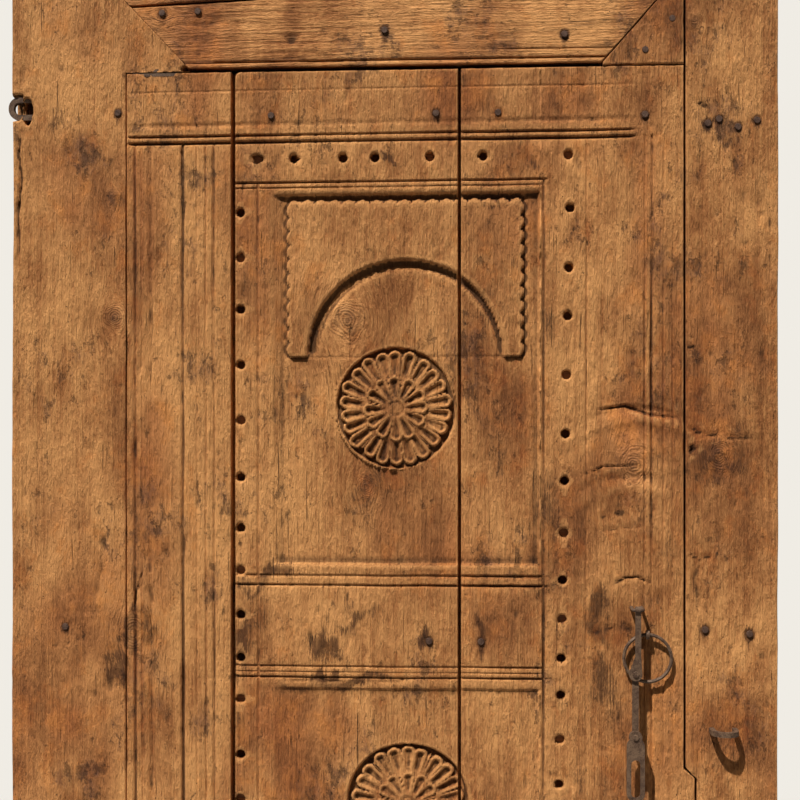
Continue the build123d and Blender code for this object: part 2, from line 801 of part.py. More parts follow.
middle_reach = [joint_one - frame_left, joint_two - frame_left]
with BuildPart() as middle_plank:
    plank(rebate(joint_one, first_joint_gap), tongue(joint_two, second_joint_gap))
    add(carving.part, mode=Mode.SUBTRACT)
    nail_holes(in_range(ledge_nails, *middle_reach), ledge_nail_depth)
write(middle_plank, "middle_plank")

lock_edge = leaf_right + kink_step
with BuildPart() as lock_plank:
    plank(
        rebate(joint_two, second_joint_gap),
        [(lock_edge, face_y), (lock_edge, face_y + leaf_thickness)],
    )
    with BuildSketch(upright(leaf_thickness + groove_overrun)) as above_kink:
        with BuildLine():
            Polyline(
                (leaf_right, leaf_top + groove_overrun),
                (leaf_right, kink_high),
                (lock_edge, kink_low),
                (lock_edge + groove_overrun, kink_low),
                (lock_edge + groove_overrun, leaf_top + groove_overrun),
                close=True,
            )
        make_face()
    extrude(above_kink.sketch, amount=leaf_thickness + 2 * groove_overrun, mode=Mode.SUBTRACT)
    add(carving.part, mode=Mode.SUBTRACT)
    nail_holes(in_range(ledge_nails, middle_reach[1], frame_width), ledge_nail_depth)
    nail_holes([lone_nail], nail_bite)
    with BuildSketch(upright(staple_leg)) as legs:
        with Locations((hasp_x, hasp_staple_height)):
            with GridLocations(hasp_staple_width - hasp_rod, 1, 2, 1):
                Circle(hasp_rod / 2 + nail_clearance)
        with Locations((ring_x, ring_height + ring_radius)):
            Circle(ring_rod / 2 + nail_clearance)
    extrude(legs.sketch, amount=staple_leg + groove_overrun, mode=Mode.SUBTRACT)
write(lock_plank, "lock_plank")

# Ledges
for place, height in ledge_heights:
    with BuildPart() as ledge:
        low = height - ledge_width / 2
        block(ledge_left, ledge_right, low, low + ledge_width, leaf_thickness, ledge_thickness)
        crossing = in_range(ledge_nails, 0, frame_width, low, low + ledge_width)
        nail_holes(crossing, ledge_nail_depth + groove_overrun)
        rear_nail_holes()
    write(ledge, f"{place}_ledge")

with BuildPart() as leaf_nails:
    nails(ledge_nails, ledge_nail_depth)
    nails([lone_nail], nail_bite)
    with BuildSketch(upright(ledge_nail_depth)) as rear_shanks:
        with Locations(*[(frame_left + inset, height) for inset, height in rear_nail_spots]):
            Rectangle(nail_shank, nail_shank)
    extrude(rear_shanks.sketch, amount=rear_nail_length - groove_overrun)
    with BuildSketch(upright(ledge_nail_depth)) as rear_heads:
        with Locations(*[(frame_left + inset, height) for inset, height in rear_nail_spots]):
            RegularPolygon(nail_head / 2, nail_head_sides)
    extrude(rear_heads.sketch, amount=-nail_head_rise)
write(leaf_nails, "leaf_nails")

# Broken pegs left in some of the holes
stub_spots = [peg_spots[index] for index in (0, 4, 6, 8, 11, 14, 17, 19, 33, 36, 38, 41, 44)]
with BuildPart() as peg_stubs:
    with BuildSketch(upright(peg_hole_depth)) as stubs:
        with Locations(*stub_spots):
            RegularPolygon(peg_hole_diameter / 2 - peg_clearance, peg_sides)
    extrude(stubs.sketch, amount=peg_hole_depth - peg_stub_depth)
write(peg_stubs, "peg_stubs")


# Ironwork on the front
def ahead(distance):
    """The plane parallel to the front face, this far in front of it, that looks to the front."""
    return upright(-distance)


def staple(plane, width, reach, leg, rod):
    """Adds a square staple: its plane has the legs along -Y, and the bow rises to the reach along +Y."""
    half = (width - rod) / 2
    bow = reach - rod / 2
    with BuildLine(plane) as path:
        FilletPolyline(
            (-half, -leg),
            (-half, bow),
            (half, bow),
            (half, -leg),
            radius=half - staple_bend_spare,
        )
    with BuildSketch(Plane(path.line @ 0, z_dir=path.line % 0)) as section:
        Rectangle(rod, rod)
    sweep(section.sketch, path=path.line)


with BuildPart() as staple_eye:
    eye_plane = Plane(origin=(eye_x, face_y, eye_height), x_dir=(1, 0, 0), z_dir=(0, 0, -1))
    staple(eye_plane, eye_width, iron_reach, staple_leg, eye_rod)
write(staple_eye, "staple_eye")

with BuildPart() as wall_eye:
    wall_y = face_y + wall_eye_rod
    wall_plane = Plane(origin=(frame_left, wall_y, wall_eye_height), x_dir=(0, 0, 1), z_dir=(0, -1, 0))
    staple(wall_plane, wall_eye_span + wall_eye_rod, wall_eye_reach, wall_eye_leg, wall_eye_rod)
write(wall_eye, "wall_eye")

with BuildPart() as hasp_staple:
    half_span = (hasp_staple_width - hasp_rod) / 2
    hasp_plane = Plane(origin=(hasp_x, face_y, hasp_staple_height), x_dir=(1, 0, 0), z_dir=(0, 0, -1))
    with BuildLine(hasp_plane) as hasp_path:
        FilletPolyline(
            (-half_span, -staple_leg),
            (-half_span, hasp_axis_ahead),
            (half_span, hasp_axis_ahead),
            (half_span, -staple_leg),
            radius=hasp_staple_bend,
        )
    with BuildSketch(Plane(hasp_path.line @ 0, z_dir=hasp_path.line % 0)) as rod_section:
        RegularPolygon(hasp_rod / 2, rod_sides)
    sweep(rod_section.sketch, path=hasp_path.line)
write(hasp_staple, "hasp_staple")

strap_back = hasp_axis_ahead - hasp_bar / 2
link_back = strap_back - link_gap - hasp_bar
strap_eye = (hasp_x + hasp_eye_side, hasp_staple_height - hasp_eye_drop)
link_eye = (strap_eye[0], strap_eye[1] - link_eye_drop)
roll_outer = hasp_rod / 2 + hasp_play + hasp_roll_wall
rivet_room = rivet_diameter / 2 + rivet_clearance

with BuildPart() as hasp_strap:
    with BuildSketch(ahead(strap_back)) as strap_outline:
        with BuildLine():
            Polyline(
                (hasp_x - hasp_top_width / 2, hasp_staple_height),
                (hasp_x + hasp_top_width / 2, hasp_staple_height),
                (hasp_x + hasp_top_width / 2, strap_eye[1] + hasp_widening),
                (strap_eye[0] + hasp_eye_radius, strap_eye[1]),
                (strap_eye[0] - hasp_eye_radius, strap_eye[1]),
                (hasp_x - hasp_top_width / 2, strap_eye[1] + hasp_widening),
                close=True,
            )
        make_face()
        with Locations(strap_eye):
            Circle(hasp_eye_radius)
            Circle(rivet_room, mode=Mode.SUBTRACT)
    extrude(strap_outline.sketch, amount=hasp_bar)
    with BuildSketch(Plane.YZ.offset(hasp_x)) as roll:
        with Locations((face_y - hasp_axis_ahead, hasp_staple_height)):
            Circle(roll_outer)
    extrude(roll.sketch, amount=hasp_top_width / 2, both=True)
    with BuildSketch(Plane.YZ.offset(hasp_x)) as roll_bore:
        with Locations((face_y - hasp_axis_ahead, hasp_staple_height)):
            Circle(hasp_rod / 2 + hasp_play)
    extrude(roll_bore.sketch, amount=hasp_top_width, both=True, mode=Mode.SUBTRACT)
write(hasp_strap, "hasp_strap")

with BuildPart() as hasp_link:
    with BuildSketch(ahead(link_back)) as link_outline:
        with Locations((strap_eye[0], (strap_eye[1] + link_eye[1]) / 2)):
            Rectangle(link_waist, link_eye_drop)
        with Locations(strap_eye, link_eye):
            Circle(hasp_eye_radius)
            Circle(rivet_room, mode=Mode.SUBTRACT)
    extrude(link_outline.sketch, amount=hasp_bar)
write(hasp_link, "hasp_link")

with BuildPart() as hasp_end_link:
    end_tip = link_eye[1] - end_link_length
    with BuildSketch(ahead(strap_back)) as end_outline:
        with Locations((link_eye[0], (link_eye[1] + end_tip) / 2)):
            SlotOverall(end_link_length, end_link_width, rotation=90)
        with Locations(link_eye):
            Circle(hasp_eye_radius)
            Circle(rivet_room, mode=Mode.SUBTRACT)
        with Locations((link_eye[0], end_tip + (end_link_width - slot_width) / 2 + slot_length / 2)):
            SlotOverall(slot_length, slot_width, rotation=90, mode=Mode.SUBTRACT)
    extrude(end_outline.sketch, amount=hasp_bar)
write(hasp_end_link, "hasp_end_link")


def rivet(place, name):
    """A rivet through a strap or link and the link behind it, with a head at each end."""
    with BuildPart() as pin:
        rear_head = link_back - link_gap
        with BuildSketch(ahead(rear_head)) as shank:
            with Locations(place):
                RegularPolygon(rivet_diameter / 2, rivet_sides)
        extrude(shank.sketch, amount=strap_back + hasp_bar - rear_head)
        with BuildSketch(ahead(strap_back + hasp_bar)) as front_head:
            with Locations(place):
                RegularPolygon(rivet_head / 2, rivet_sides)
        extrude(front_head.sketch, amount=rivet_head_rise, taper=nail_head_taper)
        with BuildSketch(ahead(rear_head)) as back_head:
            with Locations(place):
                RegularPolygon(rivet_head / 2, rivet_sides)
        extrude(back_head.sketch, amount=-rivet_head_rise, taper=nail_head_taper)
    write(pin, name)


rivet(strap_eye, "upper_rivet")
rivet(link_eye, "lower_rivet")

# Ring pull and the eye that it hangs in
ring_top = ring_height + ring_radius
with BuildPart() as ring_eye:
    with BuildSketch(Plane.YZ.offset(ring_x)) as eye_disc:
        with Locations((face_y - ring_from_face, ring_top)):
            Circle(ring_eye_outer / 2)
            Circle(ring_rod / 2 + ring_play, mode=Mode.SUBTRACT)
    extrude(eye_disc.sketch, amount=ring_eye_width / 2, both=True)
    with BuildSketch(upright(staple_leg)) as eye_shank:
        with Locations((ring_x, ring_top)):
            Circle(ring_rod / 2)
    extrude(eye_shank.sketch, amount=ring_eye_shank)
write(ring_eye, "ring_eye")

with BuildPart() as ring_pull:
    with BuildSketch(Plane.YZ.offset(ring_x)) as ring_section:
        with Locations((face_y - ring_from_face, ring_top)):
            RegularPolygon(ring_rod / 2, ring_sides)
    ring_axis = Axis((ring_x, face_y - ring_from_face, ring_height), (0, 1, 0))
    revolve(ring_section.sketch, axis=ring_axis)
write(ring_pull, "ring_pull")
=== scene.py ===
import math

import bpy
import numpy as np
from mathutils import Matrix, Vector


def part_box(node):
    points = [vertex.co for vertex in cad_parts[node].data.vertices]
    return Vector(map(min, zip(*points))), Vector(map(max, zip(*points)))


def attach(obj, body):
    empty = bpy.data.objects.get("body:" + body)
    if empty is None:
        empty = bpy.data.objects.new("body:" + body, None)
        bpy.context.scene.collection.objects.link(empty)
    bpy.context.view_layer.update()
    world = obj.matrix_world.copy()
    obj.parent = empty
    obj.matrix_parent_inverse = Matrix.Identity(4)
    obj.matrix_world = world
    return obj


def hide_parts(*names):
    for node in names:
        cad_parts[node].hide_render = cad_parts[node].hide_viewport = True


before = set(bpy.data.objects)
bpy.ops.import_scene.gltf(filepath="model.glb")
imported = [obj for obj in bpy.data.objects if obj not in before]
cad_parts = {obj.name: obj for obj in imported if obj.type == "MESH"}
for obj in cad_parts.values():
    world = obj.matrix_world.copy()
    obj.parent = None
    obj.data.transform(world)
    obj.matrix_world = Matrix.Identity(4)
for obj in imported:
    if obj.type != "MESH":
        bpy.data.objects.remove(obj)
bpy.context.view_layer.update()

# Shapes are worked out in millimetres and put into the meshes in metres.
# x runs to the right, z up, and a depth is measured back from the door's front face.
MM = 0.001


def extent(node):
    """A node's left, right, front, back, bottom and top, in millimetres."""
    low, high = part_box(node)
    return [low[0] / MM, high[0] / MM, low[1] / MM, high[1] / MM, low[2] / MM, high[2] / MM]


# Places read from the frame
frame_left, _, face, casing_back, _, frame_top = extent("left_casing")
frame_right = extent("right_casing")[1]
leaf_left, _, _, leaf_back, leaf_bottom, leaf_top = extent("hinge_plank")
mitre_right, leaf_right, _, _, shoulder, corner_top = extent("corner_board")
head_edge = extent("lower_head_board")[4]
wall_eye_height = sum(extent("wall_eye")[4:]) / 2
board_depth = casing_back - face
leaf_depth = leaf_back - face

# Sizes of the frame's boards
casing_edge = frame_left + 147.9
mitre_left = frame_left + 228.0
mitre_chip = 14.0
closing_gap = 2.8
kink_low = 850.8
kink_high = 865.3
kink_step = 13.5
head_joint = head_edge + 79.0
head_joint_rise = math.tan(math.radians(2.6))
head_gap = 3.0
left_slope = (mitre_left - frame_left) / (frame_top - head_edge)
right_slope = (frame_right - mitre_right) / (frame_top - head_edge)

# Sizes of the leaf
joint_one = leaf_left + 136.2
joint_one_gap = 5.0
joint_two = leaf_left + 421.6
joint_two_gap = 3.8
lap_depth = 16.0
lap_cover = 10.0
lap_clearance = 0.5
panel_x = (leaf_left + leaf_right) / 2 + 4.0
panel_half = 169.0
mirror_height = 814.0
upper_panel = (1112.0, 1579.0)
middle_panel = (668.0, 960.0)
lower_panel = (leaf_bottom + leaf_top - 1579.0, 2 * mirror_height - 1112.0)
panel_depth = 5.0
middle_panel_depth = 2.8
spandrel_depth = 1.0
spandrel_half = 149.0
spandrel_top = 1571.0
spandrel_foot = 1373.0
arch_radius = 122.0
scallop = 17.5
scallop_rise = 3.75
rosettes = [(panel_x - 12.0, 1309.0), (panel_x + 4.4, mirror_height)]
dish_radius = 76.0
dish_depth = 9.6
outer_petals, outer_tip = 22, 71.0
inner_petals, inner_tip = 12, 41.0
boss_radius = 7.6

# The broken corner at the top of the middle plank
broken_corner = 9.0
broken_depth = 5.0

# Peg holes: a level row and two upright ones, whose unseen lower parts are evenly spaced
peg_radius = 6.25
peg_depth = 12.0
rim_catch = 0.95
peg_row_height = 1623.0
peg_spacing = 58
left_peg_line = leaf_left + 145.5
right_peg_line = leaf_left + 559.5
right_peg_lean = 0.018
peg_row = [leaf_left + inset for inset in (167.0, 214.0, 276.0, 316.0, 385.0, 451.0, 556.0)]
left_pegs = [1556, 1499, 1434, 1364, 1294, 1222, 1158, 1105, 1049, 995, 943, 873, 817]
left_pegs += [left_pegs[-1] - peg_spacing * step for step in range(1, 11)]
right_pegs = [1557, 1483, 1423, 1350, 1277, 1219, 1154, 1095, 1046, 997, 951, 896, 840]
right_pegs += [right_pegs[-1] - peg_spacing * step for step in range(1, 11)]
peg_places = [(x, peg_row_height) for x in peg_row]
peg_places += [(left_peg_line, z) for z in left_pegs]
peg_places += [(right_peg_line - right_peg_lean * (peg_row_height - z), z) for z in right_pegs]

# Spacing of the boards' points: fine where the carving is, close over the upper part, and wide below it
close_from = 800.0
wide_step = 8.5
close_step = 5.0
column_step = 4.2
arch_step = 2.7
spandrel_step = 2.9
petal_columns = 1.66
petal_rows = 1.68
scallop_step = 1.8
peg_columns = 1.7
peg_rows = 2.2
petal_zone = (panel_x - 90.0, panel_x + 82.0)
arch_zone = (panel_x - 130.0, panel_x + 130.0)
peg_zones = [(leaf_left + 138.0, leaf_left + 153.0), (leaf_left + 541.0, leaf_left + 567.0)]
scallop_zones = [(panel_x - 156.0, panel_x - 138.0), (panel_x + 138.0, panel_x + 156.0)]
notch_zone = (1650.0, 1735.0)

# A board's side that runs straight back: no offset, and the back's depth
straight = ((0.0, None),)


# Arithmetic on whole arrays
def smooth(value):
    """0 below 0, 1 above 1 and 3t^2 - 2t^3 between."""
    t = np.clip(value, 0.0, 1.0)
    return t * t * (3.0 - 2.0 * t)


def hashed(i, j, seed):
    """A repeatable number from 0 to 1 for each pair of whole numbers: the fraction of a large sine."""
    value = np.sin(i * 127.1 + j * 311.7 + seed * 74.7) * 43758.5453
    return value - np.floor(value)


def waves(x, z, width, height, seed, octaves=1):
    """Smooth noise from -1 to 1: a number at each corner of a width by height grid, blended by 3t^2 - 2t^3.

    Each further octave is half as strong and half as large.
    """
    total = 0.0
    for octave in range(octaves):
        scale = 2.0**octave
        u = x / width * scale
        v = z / height * scale
        i = np.floor(u)
        j = np.floor(v)
        f = smooth(u - i)
        g = smooth(v - j)
        s = seed + 17 * octave
        low = hashed(i, j, s) * (1 - f) + hashed(i + 1, j, s) * f
        high = hashed(i, j + 1, s) * (1 - f) + hashed(i + 1, j + 1, s) * f
        total = total + (2.0 * (low * (1 - g) + high * g) - 1.0) / scale
    return total


def near(x, z, place, radius, tall=1.0):
    """A soft spot, e^(-d^2), where d is the distance from the place over the radius, stretched up by tall."""
    return np.exp(-(((x - place[0]) / radius) ** 2) - ((z - place[1]) / (radius * tall)) ** 2)


def between(value, low, high, soft):
    """1 between low and high, falling smoothly to 0 over the soft width outside."""
    return smooth((value - low) / soft + 1.0) * smooth((high - value) / soft + 1.0)


def groove(distance, width, deep):
    """A worn cut in a soft trough: (1 - share)^0.7 and a wide e^-(share / 2.4)^2 of its half width."""
    share = np.abs(distance) / (width / 2)
    return deep * (np.clip(1.0 - share, 0.0, 1.0) ** 0.7 + 0.18 * np.exp(-((share / 2.4) ** 2)))


def ruled(low, high, step, fine=(), exact=()):
    """Grid positions from low to high: the spacing is the step, or that of each (low, high, step) in fine.

    The positions divide the integral of 1 / spacing evenly. The exact ones replace their close neighbours.
    """
    t = np.linspace(low, high, int((high - low) / 0.2) + 2)
    spacing = np.full(t.shape, float(step))
    for start, end, size in fine:
        inside = (t >= start) & (t <= end)
        spacing[inside] = np.minimum(spacing[inside], size)
    count = np.concatenate([[0.0], np.cumsum(np.diff(t) / spacing[1:])])
    marks = np.interp(np.linspace(0.0, count[-1], int(math.ceil(count[-1])) + 1), count, t)
    kept = np.array(sorted({low, high} | {e for e in exact if low < e < high}))
    gap = np.abs(marks[:, None] - kept[None, :]).min(axis=1)
    marks = marks[gap > 0.4 * np.interp(marks, t, spacing)]
    return np.unique(np.concatenate([marks, kept]))


def groove_lines(centre, width):
    """The grid positions that a V groove needs: its middle, its walls and its shoulders."""
    return [centre + width * share for share in (-0.75, -0.5, -0.25, 0.0, 0.25, 0.5, 0.75)]


def edge_lines(low, high, steps=(0.0, 0.5, 1.3, 2.6)):
    """The grid positions that two eased edges need."""
    return [low + s for s in steps] + [high - s for s in steps]


def wall_lines(low, high):
    """The grid positions that the two walls of a sunk panel need."""
    return edge_lines(low, high, (0.0, 2.0, 4.0))


def eased(distance, radius):
    """The depth of a rounded edge at a distance from it: r - sqrt(r^2 - (r - d)^2)."""
    left = np.clip(1.0 - distance / radius, 0.0, 1.0)
    return radius * (1.0 - np.sqrt(1.0 - left**2))


# Meshes
def put(name, points, quads, caps, smooth_quads):
    """A mesh object from points in millimetres, four-cornered faces and many-cornered ones."""
    mesh = bpy.data.meshes.new(name)
    sizes = np.concatenate([np.full(len(quads), 4), [len(cap) for cap in caps]]).astype(np.int32)
    corners = np.concatenate([quads.ravel()] + [np.asarray(cap) for cap in caps]).astype(np.int32)
    starts = np.concatenate([[0], np.cumsum(sizes)[:-1]]).astype(np.int32)
    mesh.vertices.add(len(points))
    mesh.vertices.foreach_set("co", (points * MM).astype(np.float32).ravel())
    mesh.loops.add(len(corners))
    mesh.loops.foreach_set("vertex_index", corners)
    mesh.polygons.add(len(sizes))
    mesh.polygons.foreach_set("loop_start", starts)
    mesh.polygons.foreach_set("use_smooth", np.concatenate([smooth_quads, np.zeros(len(caps), bool)]))
    mesh.update(calc_edges=True)
    mesh.validate()
    piece = bpy.data.objects.new(name, mesh)
    bpy.context.scene.collection.objects.link(piece)
    return piece


def loops_to_faces(rows, around, smooth_to):
    """The faces of closed loops stacked into a tube, its two ends, and which of the faces are smooth."""
    start = np.arange(rows - 1)[:, None] * around
    side = np.arange(around)
    after = (side + 1) % around
    quads = np.stack([start + side, start + after, start + around + after, start + around + side], axis=-1)
    soft = np.broadcast_to(side < smooth_to, (rows - 1, around))
    foot = np.arange(around)[::-1]
    head = (rows - 1) * around + np.arange(around)
    return quads.reshape(-1, 4), [foot, head], soft.ravel()


def solid_board(name, x, z, depth, right=straight, left=straight, thick=board_depth):
    """A closed board: each row of the front is carried round its right side, its back and its left side.

    x, z and depth are the front's arrays, a row for each height. The sides are lists of how far a point lies
    outside the front's edge and how deep, and None is the back.
    """
    rows = x.shape[0]
    out_right = [(offset, thick if deep is None else deep) for offset, deep in right]
    out_left = [(offset, thick if deep is None else deep) for offset, deep in left]
    full_x = [x] + [x[:, -1:] + offset for offset, _ in out_right]
    full_x += [x[:, :1] + offset for offset, _ in out_left]
    full_z = [z] + [z[:, -1:]] * len(out_right) + [z[:, :1]] * len(out_left)
    full_d = [depth] + [np.full((rows, 1), deep) for _, deep in out_right + out_left]
    loop_x, loop_z, loop_d = (np.concatenate(part, axis=1) for part in (full_x, full_z, full_d))
    points = np.stack([loop_x, face + loop_d, loop_z], axis=-1).reshape(-1, 3)
    quads, caps, soft = loops_to_faces(rows, loop_x.shape[1], x.shape[1] - 1)
    return put(name, points, quads, caps, soft), loop_x.ravel(), loop_z.ravel(), loop_d


def mark(piece, name, values):
    """Stores a number, or a vector where values has three columns, at each point of a piece."""
    kind = "FLOAT_VECTOR" if values.ndim == 2 else "FLOAT"
    layer = piece.data.attributes.new(name, kind, "POINT")
    layer.data.foreach_set("vector" if values.ndim == 2 else "value", values.astype(np.float32).ravel())


def hollows(depth):
    """How much deeper each point of the grid is than those three rows and columns away: 1 at 3 mm."""
    reach = 3
    full = 3.0
    around = 0.0
    for axis in (0, 1):
        pad = [(reach, reach) if a == axis else (0, 0) for a in (0, 1)]
        wide = np.pad(depth, pad, mode="edge")
        first = np.take(wide, range(depth.shape[axis]), axis=axis)
        last = np.take(wide, range(2 * reach, 2 * reach + depth.shape[axis]), axis=axis)
        around = around + (first + last) / 4
    return np.clip((depth - around) / full, -1.0, 1.0)


# Knots in the boards: x, z, radius
knots = [
    (-49, 1419, 24), (-350, 1579, 9),
    (-345, 1424, 15), (-322, 1024, 17),
    (-26, 1210, 12), (382, 1787, 8),
    (-284, 1808, 7), (306, 1240, 20),
    (412, 1251, 14), (-300, 640, 15),
    (-420, 470, 13), (60, 430, 16),
    (300, 330, 14), (430, 560, 12),
]

# Dark stains: x, z, radius, how much taller than wide, strength
stains = [
    (-77, 1010, 34, 0.9, 0.8), (-40, 1046, 40, 0.5, 0.6),
    (-150, 1090, 50, 0.25, 0.7), (-60, 966, 90, 0.12, 0.8),
    (-182, 1020, 16, 3.4, 0.75), (-178, 900, 14, 3, 0.5),
    (150, 1600, 16, 1.2, 0.4), (196, 1180, 30, 2.2, 0.5),
    (120, 1440, 26, 1.6, 0.55), (205, 1420, 18, 2.4, 0.5),
    (130, 1260, 40, 1.5, 0.45), (340, 1130, 26, 2, 0.35),
    (-345, 985, 16, 1.8, 0.6), (-312, 1090, 12, 3, 0.5),
    (11, 1623, 15, 1, 0.75), (177, 1615, 17, 1, 0.6),
    (-26, 1210, 30, 1.5, 0.55), (-322, 1024, 26, 1.2, 0.8),
    (54, 1024, 9, 2.8, 0.9), (118, 1026, 9, 3.2, 0.9),
    (-172, 1035, 22, 2.4, 0.6), (265, 1045, 30, 1.4, 0.7),
    (265, 960, 26, 2, 0.55), (412, 1251, 42, 0.8, 0.6),
    (410, 900, 34, 1.4, 0.4), (60, 1330, 40, 1.2, 0.3),
    (150, 1450, 30, 2.2, 0.35), (392, 1690, 26, 1.4, 0.4),
    (-431, 1672, 30, 1.2, 0.5), (-345, 1424, 22, 1, 0.6),
    (-350, 1579, 20, 0.8, 0.55), (-120, 930, 40, 1, 0.35),
    (240, 850, 24, 3, 0.45), (60, 700, 40, 1.5, 0.35),
    (-250, 300, 40, 2, 0.35), (320, 480, 40, 2, 0.35),
]

# Pale, rubbed places: x, z, radius, how much taller than wide, strength
rubbed = [
    (-409, 1706, 36, 1.2, 0.7), (-77, 1037, 26, 1.2, 0.8),
    (-190, 1330, 60, 4, 0.35), (-110, 1490, 50, 1.6, 0.4),
    (-278, 1400, 20, 9, 0.35), (300, 1262, 40, 0.9, 0.6),
    (330, 1560, 26, 4, 0.35), (-60, 1140, 60, 0.8, 0.4),
    (-120, 1260, 30, 3, 0.45),
]

# Nails that leave a dark halo: x, z
nail_places = [(-341.1, 1683), (397.5, 1660), (411, 1665), (434, 1655), (457, 1663)]
nail_places += [(394, 1036), (448, 1031.5), (-2, 1782), (221.8, 1773), (-284.4, 1808.7)]
nail_places += [(-145.3, 1677), (62.4, 1677), (139.6, 1677), (53.7, 1018), (118.5, 1018)]
nail_places += [(320.7, 1672), (-409, 1031), (-238.5, 1810)]


def grain_place(x, z, depth, level):
    """Coordinates of the grain: across it, into the board and along it, in metres.

    Round a knot the across value is drawn to the knot's own, so the lines of equal value part round it.
    """
    across = z if level else x
    along = x if level else z
    sway = 2.2 if level else 1.0
    bend = 3.0 * waves(across, along, 60.0, 260.0, 5) + 1.2 * waves(across, along, 18.0, 90.0, 6)
    bent = across + sway * bend
    for knot_x, knot_z, radius in knots:
        pull = np.exp(-(((x - knot_x) / (1.7 * radius)) ** 2) - ((z - knot_z) / (2.2 * radius)) ** 2)
        centre = knot_z if level else knot_x
        bent = bent - 0.9 * (across - centre) * pull
    return np.stack([bent, depth + 0.0 * bent, along], axis=-1) * MM


def dress(made, tint, tone, level=False):
    """Stores on a board what its wood is painted from: the grain, knots, stains, tone, hollows and tint.

    Knots and stains are soft spots with wandering outlines. Tone and tint are slow noise round a given value.
    """
    piece, x, z, deep = made
    mark(piece, "grain", grain_place(x, z, deep.ravel(), level))
    heart = np.zeros(x.shape)
    for knot_x, knot_z, radius in knots:
        wobble = 1.0 + 0.25 * waves(x, z, 14.0, 14.0, int(radius))
        distance = np.hypot(x - knot_x, (z - knot_z) * 0.9) / (radius * wobble)
        heart = np.maximum(heart, np.clip(1.3 - distance, 0.0, 1.3) / 1.3)
    stain = np.zeros(x.shape)
    astray_x = x + 11.0 * waves(x, z, 26.0, 44.0, 61, 3)
    astray_z = z + 20.0 * waves(x, z, 24.0, 40.0, 62, 3)
    for spot_x, spot_z, radius, tall, strength in stains:
        stain = np.maximum(stain, strength * near(astray_x, astray_z, (spot_x, spot_z), radius, tall))
    for place in nail_places:
        under = (place[0], place[1] - 12.0)
        stain = np.maximum(stain, 0.8 * near(x, z, place, 7.0) + 0.4 * near(x, z, under, 6.0, 3.0))
    shade = tone + 0.16 * waves(x, z, 70.0, 130.0, 21, 3)
    for spot_x, spot_z, radius, tall, strength in rubbed:
        ragged = 1.0 + 0.5 * waves(x, z, 16.0, 40.0, int(spot_z) % 89, 3)
        shade = shade + 0.6 * strength * near(x, z, (spot_x, spot_z), radius, tall) * ragged
    mark(piece, "knot", heart)
    mark(piece, "stain", stain)
    mark(piece, "tone", shade)
    # How much deeper each point lies than its neighbours: the wood's colour uses it for dirt and painted
    # shade in the hollows
    mark(piece, "hollow", hollows(deep).ravel())
    mark(piece, "tint", tint + 0.55 * waves(x, z, 80.0, 130.0, 33, 3))
    return piece


def wear(x, z, seed, level=False):
    """The unevenness of hand-worked, weathered wood: long soft waves along the grain and small dents."""
    across, along = (z, x) if level else (x, z)
    swell = 0.8 * waves(across, along, 48.0, 200.0, seed, 3)
    ripple = 0.40 * waves(across, along, 8.0, 46.0, seed + 3, 2)
    dents = np.clip(waves(across, along, 10.0, 17.0, seed + 5, 2) - 0.55, 0.0, 1.0)
    torn = np.clip(waves(across, along, 16.0, 60.0, seed + 7, 3) - 0.70, 0.0, 1.0)
    return swell + ripple + 1.8 * dents + 3.0 * torn


# Carving of the leaf
hinge_side = [(11.0, 4.6, 3.6), (19.5, 3.0, 1.0), (31.0, 8.0, 2.2), (72.0, 6.0, 5.6), (90.0, 3.4, 1.3)]
hinge_side += [(101.5, 3.8, 2.6), (112.0, 5.0, 3.4)]
lock_side = [(119.0, 3.8, 2.4), (100.0, 3.2, 1.1), (47.5, 3.8, 2.4), (39.0, 4.8, 4.0), (24.5, 3.8, 2.0)]
lock_side += [(13.0, 3.2, 1.1)]
field_sides = [(leaf_left + 168.0, 4.2, 3.0), (leaf_left + 526.2, 5.6, 4.4)]
rails = [(23.5, 4.0, 1.0), (66.0, 8.0, 1.9), (80.0, 4.6, 3.8), (88.5, 5.6, 5.4)]
rail_end = leaf_left + 637.0
field = (leaf_left + 139.0, leaf_left + 533.0)
levels = [(1592.8, 4.2, 3.6), (1586.0, 3.6, 1.6), (1099.0, 5.2, 3.2), (1087.0, 4.6, 4.8), (985.2, 4.0, 2.6)]
levels += [(978.0, 3.2, 1.3), (971.4, 4.2, 3.6)]
levels += [(2 * mirror_height - z, width, deep) for z, width, deep in levels[2:]]
levels += [(leaf_bottom + leaf_top - z, width, deep) for z, width, deep in levels[:2]]


def wander(x, z):
    """How far the carver's hand strays, added to x and z of every mark: slow waves of about a millimetre."""
    stray_x = 0.9 * waves(x, z, 300.0, 260.0, 51) + 0.35 * waves(x, z, 300.0, 45.0, 52)
    stray_z = 0.9 * waves(x, z, 260.0, 300.0, 53) + 0.35 * waves(x, z, 45.0, 300.0, 54)
    return stray_x, stray_z


